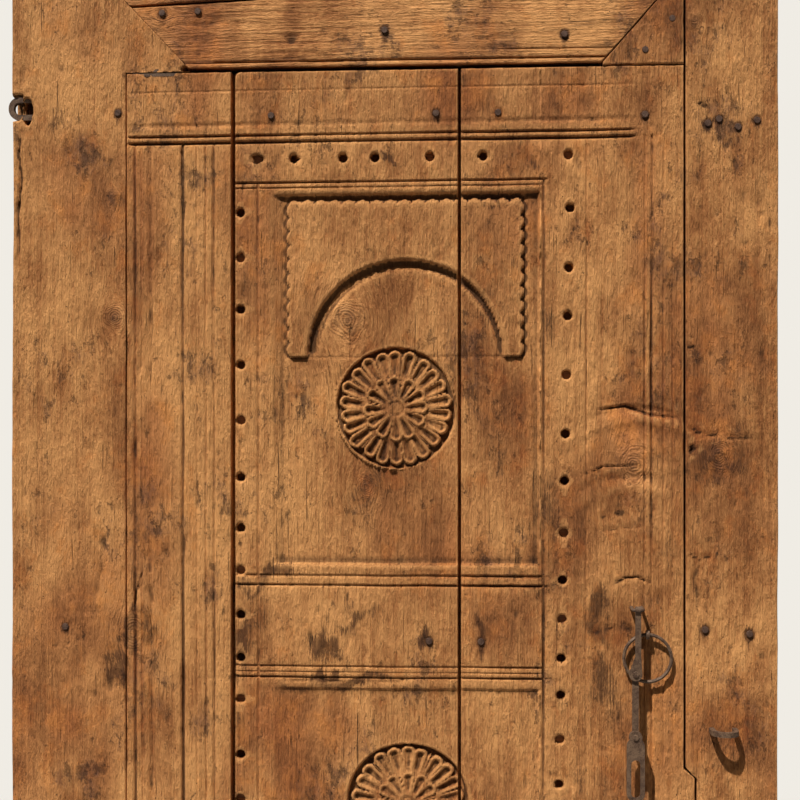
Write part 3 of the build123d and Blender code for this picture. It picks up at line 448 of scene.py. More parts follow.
def flower(x, z, count, tip, rim, scoop_depth, root, seed):
    """One ring of petals: how deep its surface lies, and how far inside its outline each point is.

    Petal k is centred on the angle 2 pi k / count and ends in a round tip. Its hollow is a spoon inside a
    raised rim, t being the share of its half width, and a cut parts it from its neighbours.
    """
    radius = np.hypot(x, z)
    turn = np.arctan2(x, z) / (2 * math.pi) * count
    index = np.mod(np.round(turn), count)
    turn = turn + 0.24 * (hashed(index, 1.0, seed) - 0.5)
    pitch = 2 * math.pi / count
    across = (turn - np.round(turn)) * pitch * radius
    tip_round = math.pi * tip / (count + math.pi)
    centre = (tip - tip_round) * (1.0 + 0.06 * (hashed(index, 2.0, seed) - 0.5))
    half = math.pi * np.minimum(radius, centre) / count
    edge = centre + np.sqrt(np.clip(tip_round**2 - across**2, 0.0, None))
    inside = edge - radius
    share = np.clip(np.abs(across) / np.maximum(half, 0.5), 0.0, 1.0)
    run = np.clip((radius - root) / (tip - root), 0.0, 1.0)
    behind_rim = smooth((inside - 1.8) / 3.4)
    amount = scoop_depth * (0.75 + 0.5 * hashed(index, 3.0, seed))
    bowl = amount * (1.0 - smooth((share - 0.30) / 0.38)) * smooth(run / 0.45) * behind_rim
    parting = 3.6 * smooth((share - 0.84) / 0.16) * smooth(run * 1.4)
    lip = 0.8 * np.exp(-(((inside - 1.9) / 1.5) ** 2))
    return rim + bowl + parting - lip + 1.2 * eased(np.maximum(inside, 0.0), 1.2), inside


def rosette(x, z, seed):
    """The depth of a rosette: a dish with a steep side, and in it two rings of petals and a boss."""
    radius = np.hypot(x, z)
    uneven = 1.0 + 0.02 * waves(np.arctan2(x, z) * 30.0, radius, 20.0, 200.0, seed)
    dish = dish_depth * smooth((dish_radius * uneven + 1.5 - radius) / 4.0)
    dish = dish * (1.0 - 0.28 * smooth((-z - 20.0) / 60.0))
    outer, outer_in = flower(x, z, outer_petals, outer_tip, 2.6, 3.4, 34.0, seed)
    inner, inner_in = flower(x, z, inner_petals, inner_tip, 1.0, 3.2, 9.0, seed + 7)
    deep = np.where(outer_in > 0.0, np.minimum(outer, dish), dish)
    skirt = smooth(-outer_in / 1.2)
    deep = np.where(outer_in > 0.0, deep, (1.0 - skirt) * np.minimum(3.6, dish) + skirt * dish)
    under = 1.0 - smooth(-inner_in / 1.5)
    deep = np.where(inner_in > 0.0, inner, deep + 1.4 * under)
    boss = 1.2 + 2.2 * (1.0 - np.sqrt(np.clip(1.0 - (radius / 9.0) ** 2, 0.0, 1.0)))
    deep = np.where(radius < boss_radius, boss, deep + 1.8 * np.exp(-(((radius - 8.8) / 1.4) ** 2)))
    return deep


def sunk(x, z, heights, deep):
    """A sunk panel: its depth rises over 4 mm from each side and over 15 mm from the left, worn one."""
    from_left = smooth((x - panel_x + panel_half) / 15.0)
    inset_z = np.minimum(z - heights[0], heights[1] - z)
    return deep * smooth(np.minimum(panel_half + panel_x - x, inset_z) / 4.0) * from_left


def bulge(along):
    """How far a lobed edge lies inside its tips: arcs of one circle, repeated at each scallop."""
    lobe = (scallop_rise**2 + (scallop / 2) ** 2) / (2 * scallop_rise)
    off = np.mod(along + scallop / 2, scallop) - scallop / 2
    return np.sqrt(np.clip(lobe**2 - off**2, 0.0, None)) - lobe


def spandrel(x, z):
    """The scalloped board over the arch, as three distances.

    They are inside its whole outline, outside the arch, and inside its lobed top and sides.
    """
    u = x - panel_x
    top = spandrel_top + bulge(u)
    side = spandrel_half + bulge(spandrel_top - scallop_rise - z - scallop / 2)
    inside = np.minimum(top - z, side - np.abs(u))
    arch = np.hypot(u, z - spandrel_foot) - arch_radius
    return np.minimum(np.minimum(inside, z - spandrel_foot), arch), arch, inside


def leaf_relief(x, z):
    """The depth of all the carving on the leaf: the deepest of its grooves, panels, holes and rosettes."""
    deep = np.zeros(x.shape)
    column = between(z, leaf_bottom + 88.5, leaf_top - 88.5, 3.0)
    fade = 0.75 + 0.35 * waves(x, z, 200.0, 150.0, 61, 2)
    worn_low = 1.0 - 0.55 * smooth((1180.0 - z) / 120.0)
    in_field = between(z, lower_panel[0], upper_panel[1] + 12.0, 6.0)
    along_rail = between(x, leaf_left + 11.0, rail_end - 8.0, 18.0)
    across_field = between(x, field[0], field[1] - 6.0, 6.0)
    cuts = [(x - leaf_left - inset, width, depth, column) for inset, width, depth in hinge_side]
    cuts += [(leaf_right - inset - x, width, depth, column * worn_low) for inset, width, depth in lock_side]
    cuts += [(x - line, width, depth, in_field) for line, width, depth in field_sides]
    cuts += [(z - leaf_top + inset, width, depth, along_rail) for inset, width, depth in rails]
    cuts += [(z - leaf_bottom - inset, width, depth, along_rail) for inset, width, depth in rails]
    cuts += [(z - line, width, depth, across_field) for line, width, depth in levels]
    for distance, width, depth, where in cuts:
        deep = np.maximum(deep, groove(distance, width, depth) * where * fade)
    board, arch, scallops = spandrel(x, z)
    floor = sunk(x, z, upper_panel, panel_depth)
    around = np.maximum(arch + arch_radius, 1.0)
    band = 9.0 + 4.0 * (z - spandrel_foot - x + panel_x) / around
    floor = floor + 2.8 * smooth((arch + band) / 2.0) * (arch < 0) * smooth((z - spandrel_foot) / 10.0)
    to_right = 0.35 + 0.65 * smooth((x - panel_x) / (2 * spandrel_half) + 0.5)
    trough = np.exp(-((scallops / 3.5) ** 2)) * (scallops < 0) * (z > spandrel_foot) * (floor > 1.0)
    floor = floor + 2.6 * to_right * trough
    floor = floor + groove(z - spandrel_foot, 3.6, 1.0) * (np.abs(x - panel_x) < spandrel_half)
    raised = smooth(board / 1.6)
    panel = floor * (1.0 - raised) + np.minimum(floor, spandrel_depth) * raised
    deep = np.maximum(deep, panel)
    for heights, depth in ((middle_panel, middle_panel_depth), (lower_panel, panel_depth)):
        deep = np.maximum(deep, sunk(x, z, heights, depth))
    for number, (centre_x, centre_z) in enumerate(rosettes):
        u = x - centre_x
        v = z - centre_z
        near_it = np.hypot(u, v) < dish_radius + 6.0
        cut = rosette(u, v, 71 + number)
        rim = np.hypot(u, v) < dish_radius
        deep = np.where(near_it, np.where(rim, np.maximum(cut, 0.6), np.maximum(deep, cut)), deep)
    return deep


def burl(x, z):
    """Wavy grain on the lock plank: two arched swells, each a ridge with a hollow under it."""
    deep = np.zeros(x.shape)
    for centre_x, centre_z, height, reach in ((312.0, 1302.0, 2.2, 62.0), (305.0, 1218.0, 1.6, 50.0)):
        arch_z = centre_z - 0.004 * (x - centre_x) ** 2
        along = np.exp(-(((x - centre_x) / reach) ** 2))
        d = (z - arch_z) / 7.0
        deep = deep - height * along * (np.exp(-((d + 1.2) ** 2)) - 1.1 * np.exp(-((d - 0.9) ** 2 * 1.6)))
    return deep


# Cracks: the points of each, its width and its depth
leaf_cracks = [
    ([(262, 1172), (290, 1179), (318, 1183)], 3.4, 3),
    ([(268, 1156), (296, 1160), (314, 1160)], 2.8, 1.6),
    ([(262, 1306), (296, 1311), (326, 1300), (362, 1296)], 4, 3.4),
    ([(236, 1223), (270, 1236), (312, 1238)], 3.2, 2.2),
    ([(-148, 966), (-90, 969), (-30, 966), (40, 970)], 3, 2),
    ([(283, 1090), (296, 1098), (312, 1099), (330, 1091)], 3, 3),
    ([(234, 1034), (262, 1030), (285, 1037), (309, 1035)], 3, 2.6),
    ([(-322, 1050), (-318, 1075), (-309, 1103)], 3, 2.5),
]
casing_cracks = [
    ([(375, 1286), (384, 1279), (400, 1276), (430, 1272), (468, 1270)], 3.6, 3),
    ([(374, 1260), (381, 1256)], 7, 7),
    ([(374, 1130), (386, 1123), (402, 1126)], 3.6, 3.4),
    ([(-446, 1050), (-400, 1049), (-352, 1052)], 2.6, 1.4),
    ([(-438, 1003), (-400, 1012), (-360, 1030)], 2.6, 1.6),
    ([(-468, 1664), (-470, 1630), (-466, 1600), (-471, 1560), (-469, 1500)], 3.5, 6),
    ([(-457, 1638), (-451, 1621)], 3, 2.5),
    ([(380, 1689), (390, 1684), (400, 1679)], 3.2, 3.5),
    ([(372, 1384), (382, 1383)], 3.5, 4),
    ([(-440, 880), (-428, 878)], 6, 2),
    ([(470, 1590), (474, 1520), (471, 1460)], 2.4, 2.5),
]


def chips(x, z, width, height, seed):
    """How much more than usual an edge is worn, from 0 to 1: the upper half of a slow noise."""
    return np.clip(waves(x, z, width, height, seed + 9, 2), 0.0, 1.0)


def cracked(x, z, cracks):
    """The deepest of several cracks: grooves along lines of points, closing towards both ends.

    The depth is multiplied by the root of 4p(1 - p), where p is the share of the line that has been passed.
    """
    deep = np.zeros(x.shape)
    astray = 0.6 * waves(x, z, 6.0, 6.0, 88)
    for points, width, depth in cracks:
        for number, ((x0, z0), (x1, z1)) in enumerate(zip(points, points[1:])):
            length = math.hypot(x1 - x0, z1 - z0)
            along = ((x - x0) * (x1 - x0) + (z - z0) * (z1 - z0)) / length**2
            off = ((x - x0) * (z1 - z0) - (z - z0) * (x1 - x0)) / length + astray
            place = np.clip((number + np.clip(along, 0.0, 1.0)) / (len(points) - 1), 0.0, 1.0)
            beside = (along > -0.02) & (along < 1.02)
            open_here = np.sqrt(np.clip(4.0 * place * (1.0 - place), 0.0, 1.0)) * beside
            deep = np.maximum(deep, groove(off, width, depth) * open_here)
    return deep


def bored(x, z, deep):
    """Moves the points within rim_catch of each peg hole's rim onto it, and sinks those inside it."""
    reach = 2.0 * peg_radius
    for centre_x, centre_z in peg_places:
        if centre_x + reach < x.min() or centre_x - reach > x.max():
            continue
        u = x - centre_x
        v = z - centre_z
        radius = np.hypot(u, v)
        rim = np.abs(radius - peg_radius) < rim_catch
        inside = (radius < peg_radius) & ~rim
        scale = np.where(rim, peg_radius / np.maximum(radius, 1.0), 1.0)
        x = centre_x + u * scale
        z = centre_z + v * scale
        deep = np.where(inside, peg_depth, deep + 0.7 * np.exp(-np.maximum(radius - peg_radius, 0.0) / 1.2))
    return x, z, deep


def dented_at_nails(x, z):
    """A shallow dent round each nail."""
    deep = np.zeros(x.shape)
    for place in nail_places:
        deep = deep + 0.9 * near(x, z, place, 6.0)
    return deep


def plank(name, left_edge, right_edge, right_side, left_side, seed, tint, tone):
    """A plank of the leaf between two upright edges, with all the carving that crosses it."""
    uprights = [(leaf_left + inset, width) for inset, width, _ in hinge_side]
    uprights += [(leaf_right - inset, width) for inset, width, _ in lock_side]
    uprights += [(line, width) for line, width, _ in field_sides]
    exact_x = edge_lines(left_edge, right_edge) + wall_lines(panel_x - panel_half, panel_x + panel_half)
    for line, width in uprights:
        exact_x += groove_lines(line, width)
    fine_x = [(*petal_zone, petal_columns), (*arch_zone, arch_step)]
    fine_x += [(*zone, peg_columns) for zone in peg_zones]
    fine_x += [(*zone, scallop_step) for zone in scallop_zones]
    exact_z = edge_lines(leaf_bottom, leaf_top)
    for line, width, _ in levels:
        exact_z += groove_lines(line, width)
    for inset, width, _ in rails:
        exact_z += groove_lines(leaf_top - inset, width) + groove_lines(leaf_bottom + inset, width)
    for heights in (upper_panel, middle_panel, lower_panel):
        exact_z += wall_lines(*heights)
    fine_z = [(close_from, leaf_top, close_step)]
    if any(left_edge < x + dish_radius and right_edge > x - dish_radius for x, _ in rosettes):
        fine_z += [(z - 78.0, z + 78.0, petal_rows) for _, z in rosettes]
        fine_z += [(spandrel_foot - 4.0, spandrel_top + 3.0, spandrel_step)]
    fine_z += [(z - 8.0, z + 8.0, peg_rows) for x, z in peg_places if left_edge < x < right_edge]
    columns = ruled(left_edge, right_edge, column_step, fine_x, exact_x)
    flat_x, flat_z = np.meshgrid(columns, ruled(leaf_bottom, leaf_top, wide_step, fine_z, exact_z))
    deep = leaf_relief(flat_x, flat_z)
    deep = deep + wear(flat_x, flat_z, seed) * (0.35 + 0.65 * smooth(1.5 - deep / 3.0))
    deep = deep + burl(flat_x, flat_z) + dented_at_nails(flat_x, flat_z)
    deep = deep + cracked(flat_x, flat_z, leaf_cracks)
    to_side = np.minimum(flat_x - left_edge, right_edge - flat_x)
    to_end = np.minimum(flat_z - leaf_bottom, leaf_top - flat_z)
    deep = deep + eased(np.minimum(to_side, to_end), 1.5 + 1.0 * chips(flat_x, flat_z, 30.0, 34.0, seed))
    if name == "middle_plank":
        in_x = np.maximum(left_edge + broken_corner - flat_x, 0.0)
        in_z = np.maximum(flat_z - leaf_top + broken_corner, 0.0)
        deep = deep + broken_depth * smooth((np.hypot(in_x, in_z) - broken_corner + 1.0) / 3.0)
    x, z, deep = bored(flat_x, flat_z, deep)
    stray_x, stray_z = wander(x, z)
    x = x + stray_x * smooth(to_side / 20.0)
    z = z + (stray_z + 0.004 * (x - panel_x)) * smooth(to_end / 20.0)
    if name == "lock_plank":
        kinked = kink_step * smooth((kink_high - z) / (kink_high - kink_low))
        x = x + kinked * smooth(((flat_x - left_edge) / (right_edge - left_edge) - 0.8) / 0.2)
    return dress(solid_board(name + "_carved", x, z, deep, right_side, left_side, leaf_depth), tint, tone)


def tongue(gap):
    """The right side of a plank: straight back, then out behind the next plank."""
    reach = gap + lap_cover
    return [(0.0, lap_depth + lap_clearance), (reach, lap_depth + lap_clearance), (reach, None)]


# The left side of a plank, from its back: cut back over the last plank's tongue
under_lap = lap_cover + lap_clearance
rebate = [(under_lap, None), (under_lap, lap_depth), (0.0, lap_depth)]


# Boards of the frame
def level_board(name, corners, step, seed, tint, tone, lines=()):
    """A flat level board, a straight blend between its four corners, from bottom left anticlockwise."""
    (x0, z0), (x1, z1), (x2, z2), (x3, z3) = corners
    wide = max(x1 - x0, x2 - x3)
    tall = max(z3 - z0, z2 - z1)
    exact_z = edge_lines(0.0, tall)
    for line, width, _ in lines:
        exact_z += groove_lines(line, width)
    columns = ruled(0.0, wide, step, (), edge_lines(0.0, wide)) / wide
    u, v = np.meshgrid(columns, ruled(0.0, tall, step, (), exact_z) / tall)
    x = (x0 * (1 - u) + x1 * u) * (1 - v) + (x3 * (1 - u) + x2 * u) * v
    z = (z0 * (1 - u) + z1 * u) * (1 - v) + (z3 * (1 - u) + z2 * u) * v
    deep = wear(x, z, seed, True) + dented_at_nails(x, z)
    for line, width, depth in lines:
        deep = deep + groove(z - z0 - line, width, depth)
    edge = np.minimum(np.minimum(u, 1 - u) * wide, np.minimum(v, 1 - v) * tall)
    deep = deep + eased(edge, 1.6 + 0.8 * chips(x, z, 26.0, 26.0, seed))
    return dress(solid_board(name + "_worn", x, z, deep), tint, tone, True)


def squeezed(steps, reach):
    """Steps from an edge, kept up to 3 mm short of the reach, the rest of them squeezed into what is left."""
    last = float(steps.max())
    kept = np.clip(reach - 3.0, 0.0, last - 3.0)
    rest = (steps - kept) / (last - kept)
    return np.where(steps < kept, steps, kept + (reach - kept) * rest)


def side_board(name, left_of, right_of, rows, step, seed, tint, tone, extra=None):
    """An upright board whose two edges are functions of the height.

    Its columns are straight from the outer edge on, and follow the shaped edge only in the last 3 mm.
    """
    low = left_of(rows)
    high = right_of(rows)
    wide = float((high - low).max())
    fine = [(0.0, 30.0, 2.0)] if extra else []
    steps = ruled(0.0, wide, step, fine, edge_lines(0.0, wide))
    inset = squeezed(steps[None, :], (high - low)[:, None])
    x = low[:, None] + inset if extra else high[:, None] - inset[:, ::-1]
    z = np.broadcast_to(rows[:, None], x.shape).copy()
    deep = wear(x, z, seed) + dented_at_nails(x, z) + cracked(x, z, casing_cracks)
    from_mitre = np.hypot((x - mitre_left + 4.0) / 5.0, (z - head_edge + 1.0) / 5.0)
    deep = deep + mitre_chip * smooth(1.5 - from_mitre * 1.5)
    edge = np.minimum(x - low[:, None], high[:, None] - x)
    ends = np.minimum(z - rows[0], rows[-1] - z)
    deep = deep + eased(np.minimum(edge, ends), 1.8 + 1.2 * chips(x, z, 30.0, 40.0, seed))
    if extra:
        deep = extra(x, z, deep)
    return dress(solid_board(name + "_worn", x, z, deep), tint, tone)


def worn_notch(x, z, deep):
    """The notch and the hole that the wall staple has worn in the left board's edge."""
    from_edge = x - frame_left
    rim = 2.5 * waves(x, z, 12.0, 12.0, 95, 2)
    notch = smooth((16.0 + rim - np.abs(z - wall_eye_height)) / 3.0) * smooth((13.0 + rim - from_edge) / 4.0)
    tall = (z - wall_eye_height + 4.5) / 18.0
    hole = smooth((1.0 - np.hypot((from_edge - 20.0) / 8.0, tall)) * 3.0 + 0.1 * rim)
    return np.maximum(deep, 20.0 * np.maximum(notch, hole))


def left_board_left(z):
    """The outer edge of the left board, a little out of true."""
    return frame_left + 0.4 + 1.0 * waves(0.0 * z, z, 1.0, 160.0, 41, 2) + 0.8 * smooth(z / frame_top)


def left_board_right(z):
    """Straight up to the shoulder, out to the mitre, and back along the mitre."""
    on_mitre = mitre_left - (z - head_edge) * left_slope
    return np.where(z < shoulder, casing_edge, np.minimum(mitre_left, on_mitre + 1.0))


def right_mitre(z):
    """How far to the right the right mitre has come at each height."""
    return mitre_right + (z - head_edge) * right_slope


def right_board_left(z):
    """The closing edge with its kink, then the mitre."""
    kinked = kink_step * np.clip((kink_high - z) / (kink_high - kink_low), 0.0, 1.0)
    return np.maximum(leaf_right + closing_gap + kinked, right_mitre(z))


def right_board_right(z):
    """The outer edge of the right board, a little out of true."""
    out_of_true = 0.6 + 1.0 * np.abs(waves(0.0 * z, z, 1.0, 180.0, 43, 2))
    return frame_right - out_of_true - 1.5 * smooth((1500.0 - z) / 900.0)


def corner_left(z):
    """The corner board's end, cut to the mitre above the head's edge."""
    return np.maximum(mitre_right, right_mitre(z))


def corner_right(z):
    """The corner board's upright side, in line with the leaf's edge."""
    return leaf_right + 0.0 * z


# Shader sums written as Python sums
class Sum:
    """A number from a socket. Arithmetic on it, and with plain numbers, adds the Math nodes."""

    def __init__(self, nodes, socket):
        self.nodes = nodes
        self.socket = socket

    def join(self, operation, *values):
        """A Math node on these values, in their order."""
        node = self.nodes.node("ShaderNodeMath", {"operation": operation}, dict(enumerate(values)))
        return Sum(self.nodes, node.outputs[0])

    def __add__(self, other):
        return self.join("ADD", self, other)

    def __sub__(self, other):
        return self.join("SUBTRACT", self, other)

    def __rsub__(self, other):
        return self.join("SUBTRACT", other, self)

    def __mul__(self, other):
        return self.join("MULTIPLY", self, other)

    __radd__ = __add__
    __rmul__ = __mul__

    def step(self, low, high):
        """0 at low, 1 at high and smooth between."""
        inputs = {"Value": self, "From Min": low, "From Max": high}
        node = self.nodes.node("ShaderNodeMapRange", {"interpolation_type": "SMOOTHSTEP"}, inputs)
        return Sum(self.nodes, node.outputs[0])

    def sine(self):
        return self.join("SINE", self)

    def least(self, other):
        return self.join("MINIMUM", self, other)

    def most(self, other):
        return self.join("MAXIMUM", self, other)


class Nodes:
    """The shader nodes of a material or a world, with the one that its output comes from."""

    def __init__(self, owner, last):
        owner.use_nodes = True
        self.tree = owner.node_tree
        self.shader = self.tree.nodes[last]

    def node(self, kind, settings=None, inputs=None):
        """A node of this kind, with its settings made first and then its inputs set or linked."""
        made = self.tree.nodes.new(kind)
        for name, value in (settings or {}).items():
            setattr(made, name, value)
        for name, value in (inputs or {}).items():
            self.set(made.inputs[name], value)
        return made

    def set(self, socket, value):
        """Links a socket to a sum or another socket, or gives it a plain value."""
        if isinstance(value, Sum):
            value = value.socket
        if isinstance(value, bpy.types.NodeSocket):
            self.tree.links.new(value, socket)
        else:
            socket.default_value = value


class Paint(Nodes):
    """A material that is built from one shader."""

    def __init__(self, name):
        self.material = bpy.data.materials.new(name)
        super().__init__(self.material, "Principled BSDF")

    def place(self, name=None):
        """Object coordinates, or the vector that is stored on the piece under this name."""
        if name is None:
            return self.node("ShaderNodeTexCoord").outputs["Object"]
        return self.node("ShaderNodeAttribute", {"attribute_name": name}).outputs["Vector"]

    def stored(self, name):
        """The number that is stored on the piece under this name."""
        return Sum(self, self.node("ShaderNodeAttribute", {"attribute_name": name}).outputs["Fac"])

    def stretch(self, vector, factors):
        """A vector times three factors."""
        node = self.node("ShaderNodeVectorMath", {"operation": "MULTIPLY"}, {0: vector, 1: factors})
        return node.outputs[0]

    def noise(self, vector, scale, detail, rough, distortion=0.0):
        """Noise from about 0 to 1, of so many waves to the metre: one number, or three where stretched."""
        if isinstance(scale, tuple):
            vector, scale = self.stretch(vector, scale), 1.0
        inputs = {"Vector": vector, "Scale": scale, "Detail": detail, "Roughness": rough}
        inputs["Distortion"] = distortion
        return Sum(self, self.node("ShaderNodeTexNoise", None, inputs).outputs[0])

    def cells(self, vector, scale):
        """The distance to the nearest of many scattered points, in cells."""
        node = self.node("ShaderNodeTexVoronoi", None, {"Vector": vector, "Scale": scale})
        return Sum(self, node.outputs["Distance"])

    def mix(self, factor, first, second):
        """A colour between two colours."""
        node = self.node("ShaderNodeMix", {"data_type": "RGBA"}, {0: factor, 6: first, 7: second})
        return node.outputs[2]

    def bump(self, height, distance):
        """A surface raised by a height from 0 to 1 times a distance in metres."""
        inputs = {"Height": height, "Distance": distance, "Strength": 1.0}
        return self.node("ShaderNodeBump", None, inputs).outputs[0]

    def finish(self, colour, roughness, height, relief, shine=None):
        """Gives the shader its colour, roughness and surface, and its shine where it isn't the usual one."""
        self.set(self.shader.inputs["Base Color"], colour)
        self.set(self.shader.inputs["Roughness"], roughness)
        self.set(self.shader.inputs["Normal"], self.bump(height, relief))
        if shine is not None:
            self.set(self.shader.inputs["Specular IOR Level"], shine)
        return self.material


def srgb(red, green, blue):
    """The linear colour of three sRGB numbers from 0 to 255."""
    parts = np.array([red, green, blue]) / 255.0
    linear = np.where(parts <= 0.04045, parts / 12.92, ((parts + 0.055) / 1.055) ** 2.4)
    return (float(linear[0]), float(linear[1]), float(linear[2]), 1.0)


def old_wood(name, lined, sun_bleached, amber, brown, red, grey, dark, dirt_and_shade):
    """Old weathered wood: streaks along the stored grain, ringed knots, pits, checks, and dirt and painted
    shade in the hollows.

    Lined widens and deepens the lines of the grain.
    """
    paint = Paint(name)
    grain = paint.place("grain")
    spot = paint.place()
    tone, knot, hollow, tint, stain = (paint.stored(n) for n in ("tone", "knot", "hollow", "tint", "stain"))
    # The grain, from broad streaks to hairs
    streaks = paint.noise(grain, (150.0, 30.0, 3.2), 5.0, 0.62)
    lines = paint.noise(grain, (620.0 / lined, 90.0, 9.0), 4.0, 0.6)
    hairs = paint.noise(grain, (1900.0, 300.0, 40.0), 3.0, 0.6)
    # Patches of weather, the rough surface and its blows
    blotches = paint.noise(spot, (20.0, 20.0, 9.0), 6.0, 0.68)
    bloom = paint.noise(spot, (13.0, 13.0, 9.0), 7.0, 0.72)
    grit = paint.noise(grain, (430.0, 330.0, 105.0), 5.0, 0.72)
    knocks = paint.noise(grain, (120.0, 95.0, 42.0), 4.0, 0.6)
    # Short cracks, pits, worm holes, scabs and the rings of knots
    check = paint.noise(grain, (430.0, 90.0, 11.0), 2.0, 0.5, 0.3).step(0.33, 0.27)
    check = check * blotches.step(0.42, 0.60)
    pits = paint.noise(grain, (420.0, 150.0, 110.0), 3.0, 0.6).step(0.38, 0.31) * bloom.step(0.40, 0.62)
    worm = paint.cells(paint.stretch(spot, (105.0, 105.0, 94.5)), 1.0).step(0.085, 0.06)
    worm = worm * blotches.step(0.50, 0.62)
    scabs = (paint.noise(grain, (90.0, 60.0, 42.0), 7.0, 0.78) + (bloom - 0.5) * 0.7).step(0.60, 0.68)
    rings = ((knot * 46.0 + lines * 5.0).sine() * 0.5 + 0.5) * knot.step(0.02, 0.30)
    # How light the wood is, about 0 on the whole
    level = tone + (streaks - 0.5) * 0.9 + (blotches - 0.5) * 2.3 + (lines - 0.5) * (0.6 * lined)
    level = level + (grit - 0.5) * 1.2 + (hairs - 0.5) * 0.35
    # Colours: the wood, its red and grey parts, its darker parts, stains, knots, marks, amber parts, dirt and
    # painted shade in the hollows, and paler raised edges
    ragged = stain * 1.7 + (grit - 0.5) * 1.7 + (lines - 0.5) * 1.3 + (blotches - 0.5) * 1.6
    stained = ragged.step(0.55, 1.05) * stain.step(0.05, 0.30)
    greyed = (bloom + (grit - 0.5) * 0.35).step(0.56, 0.70)
    glow = (paint.noise(spot, (34.0, 34.0, 26.0), 6.0, 0.7) + tint * 0.12).step(0.54, 0.72)
    low = (0.0 - level).step(0.22, 0.95)
    red_part = level.step(-0.6, 0.6)
    colour = paint.mix(level.step(-0.55, 0.55), brown, sun_bleached)
    colour = paint.mix(tint.step(0.0, 1.0) * 0.8, colour, paint.mix(red_part, dark, red))
    colour = paint.mix(greyed * 0.65, colour, grey)
    colour = paint.mix((low * 0.8).most(stained * 0.85), colour, dark)
    colour = paint.mix((rings * 0.32 + knot.step(0.25, 0.9) * 0.5).least(0.8), colour, dark)
    colour = paint.mix((check * 0.75 + pits * 0.5 + worm * 0.9 + scabs * 0.48).least(0.92), colour, dirt_and_shade)
    colour = paint.mix(glow * 0.55, colour, paint.mix(red_part, red, amber))
    # Dirt and painted shade: points that lie deeper than their neighbours, most in narrow grooves and cracks,
    # are darkened
    colour = paint.mix(hollow.step(0.12, 0.60) * 0.75, colour, dirt_and_shade)
    colour = paint.mix((0.0 - hollow).step(0.06, 0.50) * 0.45, colour, sun_bleached)
    # The surface, from the grain and the marks in it
    height = lines * (0.6 * lined) + streaks * 0.5 + grit * 1.15 + hairs * 0.3 + knocks * 1.5 + blotches * 1.2
    height = height + rings * 0.12 - check * 1.1 - pits * 0.5 - worm - scabs * 0.5
    return paint.finish(colour, 0.72 - level * 0.10, height, 0.0031, 0.14)


def rusty_iron(name, bare, rust, deep_rust):
    """Forged iron with a worn brown skin: hammer marks, rust bloom and darker pits."""
    paint = Paint(name)
    spot = paint.place()
    bloom = paint.noise(spot, 140.0, 6.0, 0.65)
    grit = paint.noise(spot, 900.0, 4.0, 0.6)
    hammer = paint.cells(spot, 160.0)
    worn = (bloom * 0.6 + grit * 0.4).step(0.38, 0.62)
    colour = paint.mix(grit.step(0.46, 0.34) * 0.8, paint.mix(worn, rust, bare), deep_rust)
    return paint.finish(colour, 0.78 - worn * 0.22, hammer * 0.5 + bloom * 0.5 + grit * 0.3, 0.0006, 0.25)


def rough_timber(name, level):
    """Rough timber behind the boards, its grain up the posts, or along x where level: streaks and lines.

    Posts have slow blotches and level saw marks too.
    """
    paint = Paint(name)
    spot = paint.place()
    streaks = paint.noise(spot, (4.0, 120.0, 120.0) if level else (120.0, 120.0, 4.0), 6.0, 0.62)
    lines = paint.noise(spot, (10.0, 520.0, 520.0) if level else (520.0, 520.0, 10.0), 4.0, 0.6)
    light = (streaks - 0.5) * 1.3 + (lines - 0.5) * 0.9
    height = lines * 0.6 + streaks * 0.3
    if not level:
        light = light + (paint.noise(spot, 9.0, 5.0, 0.6) - 0.5) * 0.9
        height = height + paint.noise(spot, (4.0, 4.0, 330.0), 2.0, 0.5) * 0.4
    colour = paint.mix(light.step(-0.5, 0.5), srgb(96, 62, 40), srgb(158, 112, 74))
    colour = paint.mix(lines.step(0.42, 0.34) * 0.6, colour, srgb(52, 34, 24))
    return paint.finish(colour, 0.8, height, 0.0012)


wood_colours = {
    "sun_bleached": srgb(218, 157, 98),
    "amber": srgb(214, 139, 73),
    "brown": srgb(152, 96, 54),
    "red": srgb(155, 84, 44),
    "grey": srgb(106, 72, 58),
    "dark": srgb(72, 43, 27),
    # The darkest colour: dirt in the marks, and dirt with painted shade in the hollows
    "dirt_and_shade": srgb(34, 21, 14),
}
carved_wood = old_wood("old_carved_wood", 1.0, **wood_colours)
head_wood = old_wood("old_lined_wood", 2.0, **wood_colours)
iron = rusty_iron("rusty_forged_iron", srgb(102, 80, 62), srgb(60, 41, 30), srgb(22, 16, 12))
nail_iron = rusty_iron("rusty_nail_iron", srgb(84, 62, 50), srgb(60, 40, 30), srgb(28, 19, 16))
upright_timber = rough_timber("rough_upright_timber", False)
cross_timber = rough_timber("rough_level_timber", True)


def finish_with(material, *nodes):
    """Gives frame nodes a material."""
    for node in nodes:
        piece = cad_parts[node]
        piece.data.materials.clear()
        piece.data.materials.append(material)


def stand_in(piece, node, body, material):
    """Puts a piece in place of a frame node."""
    piece.data.materials.append(material)
    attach(piece, body)
    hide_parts(node)


# The leaf's planks: name, edges, side profiles, seed of the wear, tint and tone
one_left, one_right = joint_one - joint_one_gap / 2, joint_one + joint_one_gap / 2
two_left, two_right = joint_two - joint_two_gap / 2, joint_two + joint_two_gap / 2
planks = [
    ("hinge_plank", leaf_left, one_left, tongue(joint_one_gap), straight, 101, 0.25, 0.10),
    ("middle_plank", one_right, two_left, tongue(joint_two_gap), rebate, 102, 0.35, 0.0),
    ("lock_plank", two_right, leaf_right, straight, rebate, 103, 0.3, 0.0),
]
for row in planks:
    stand_in(plank(*row), row[0], "leaf", carved_wood)

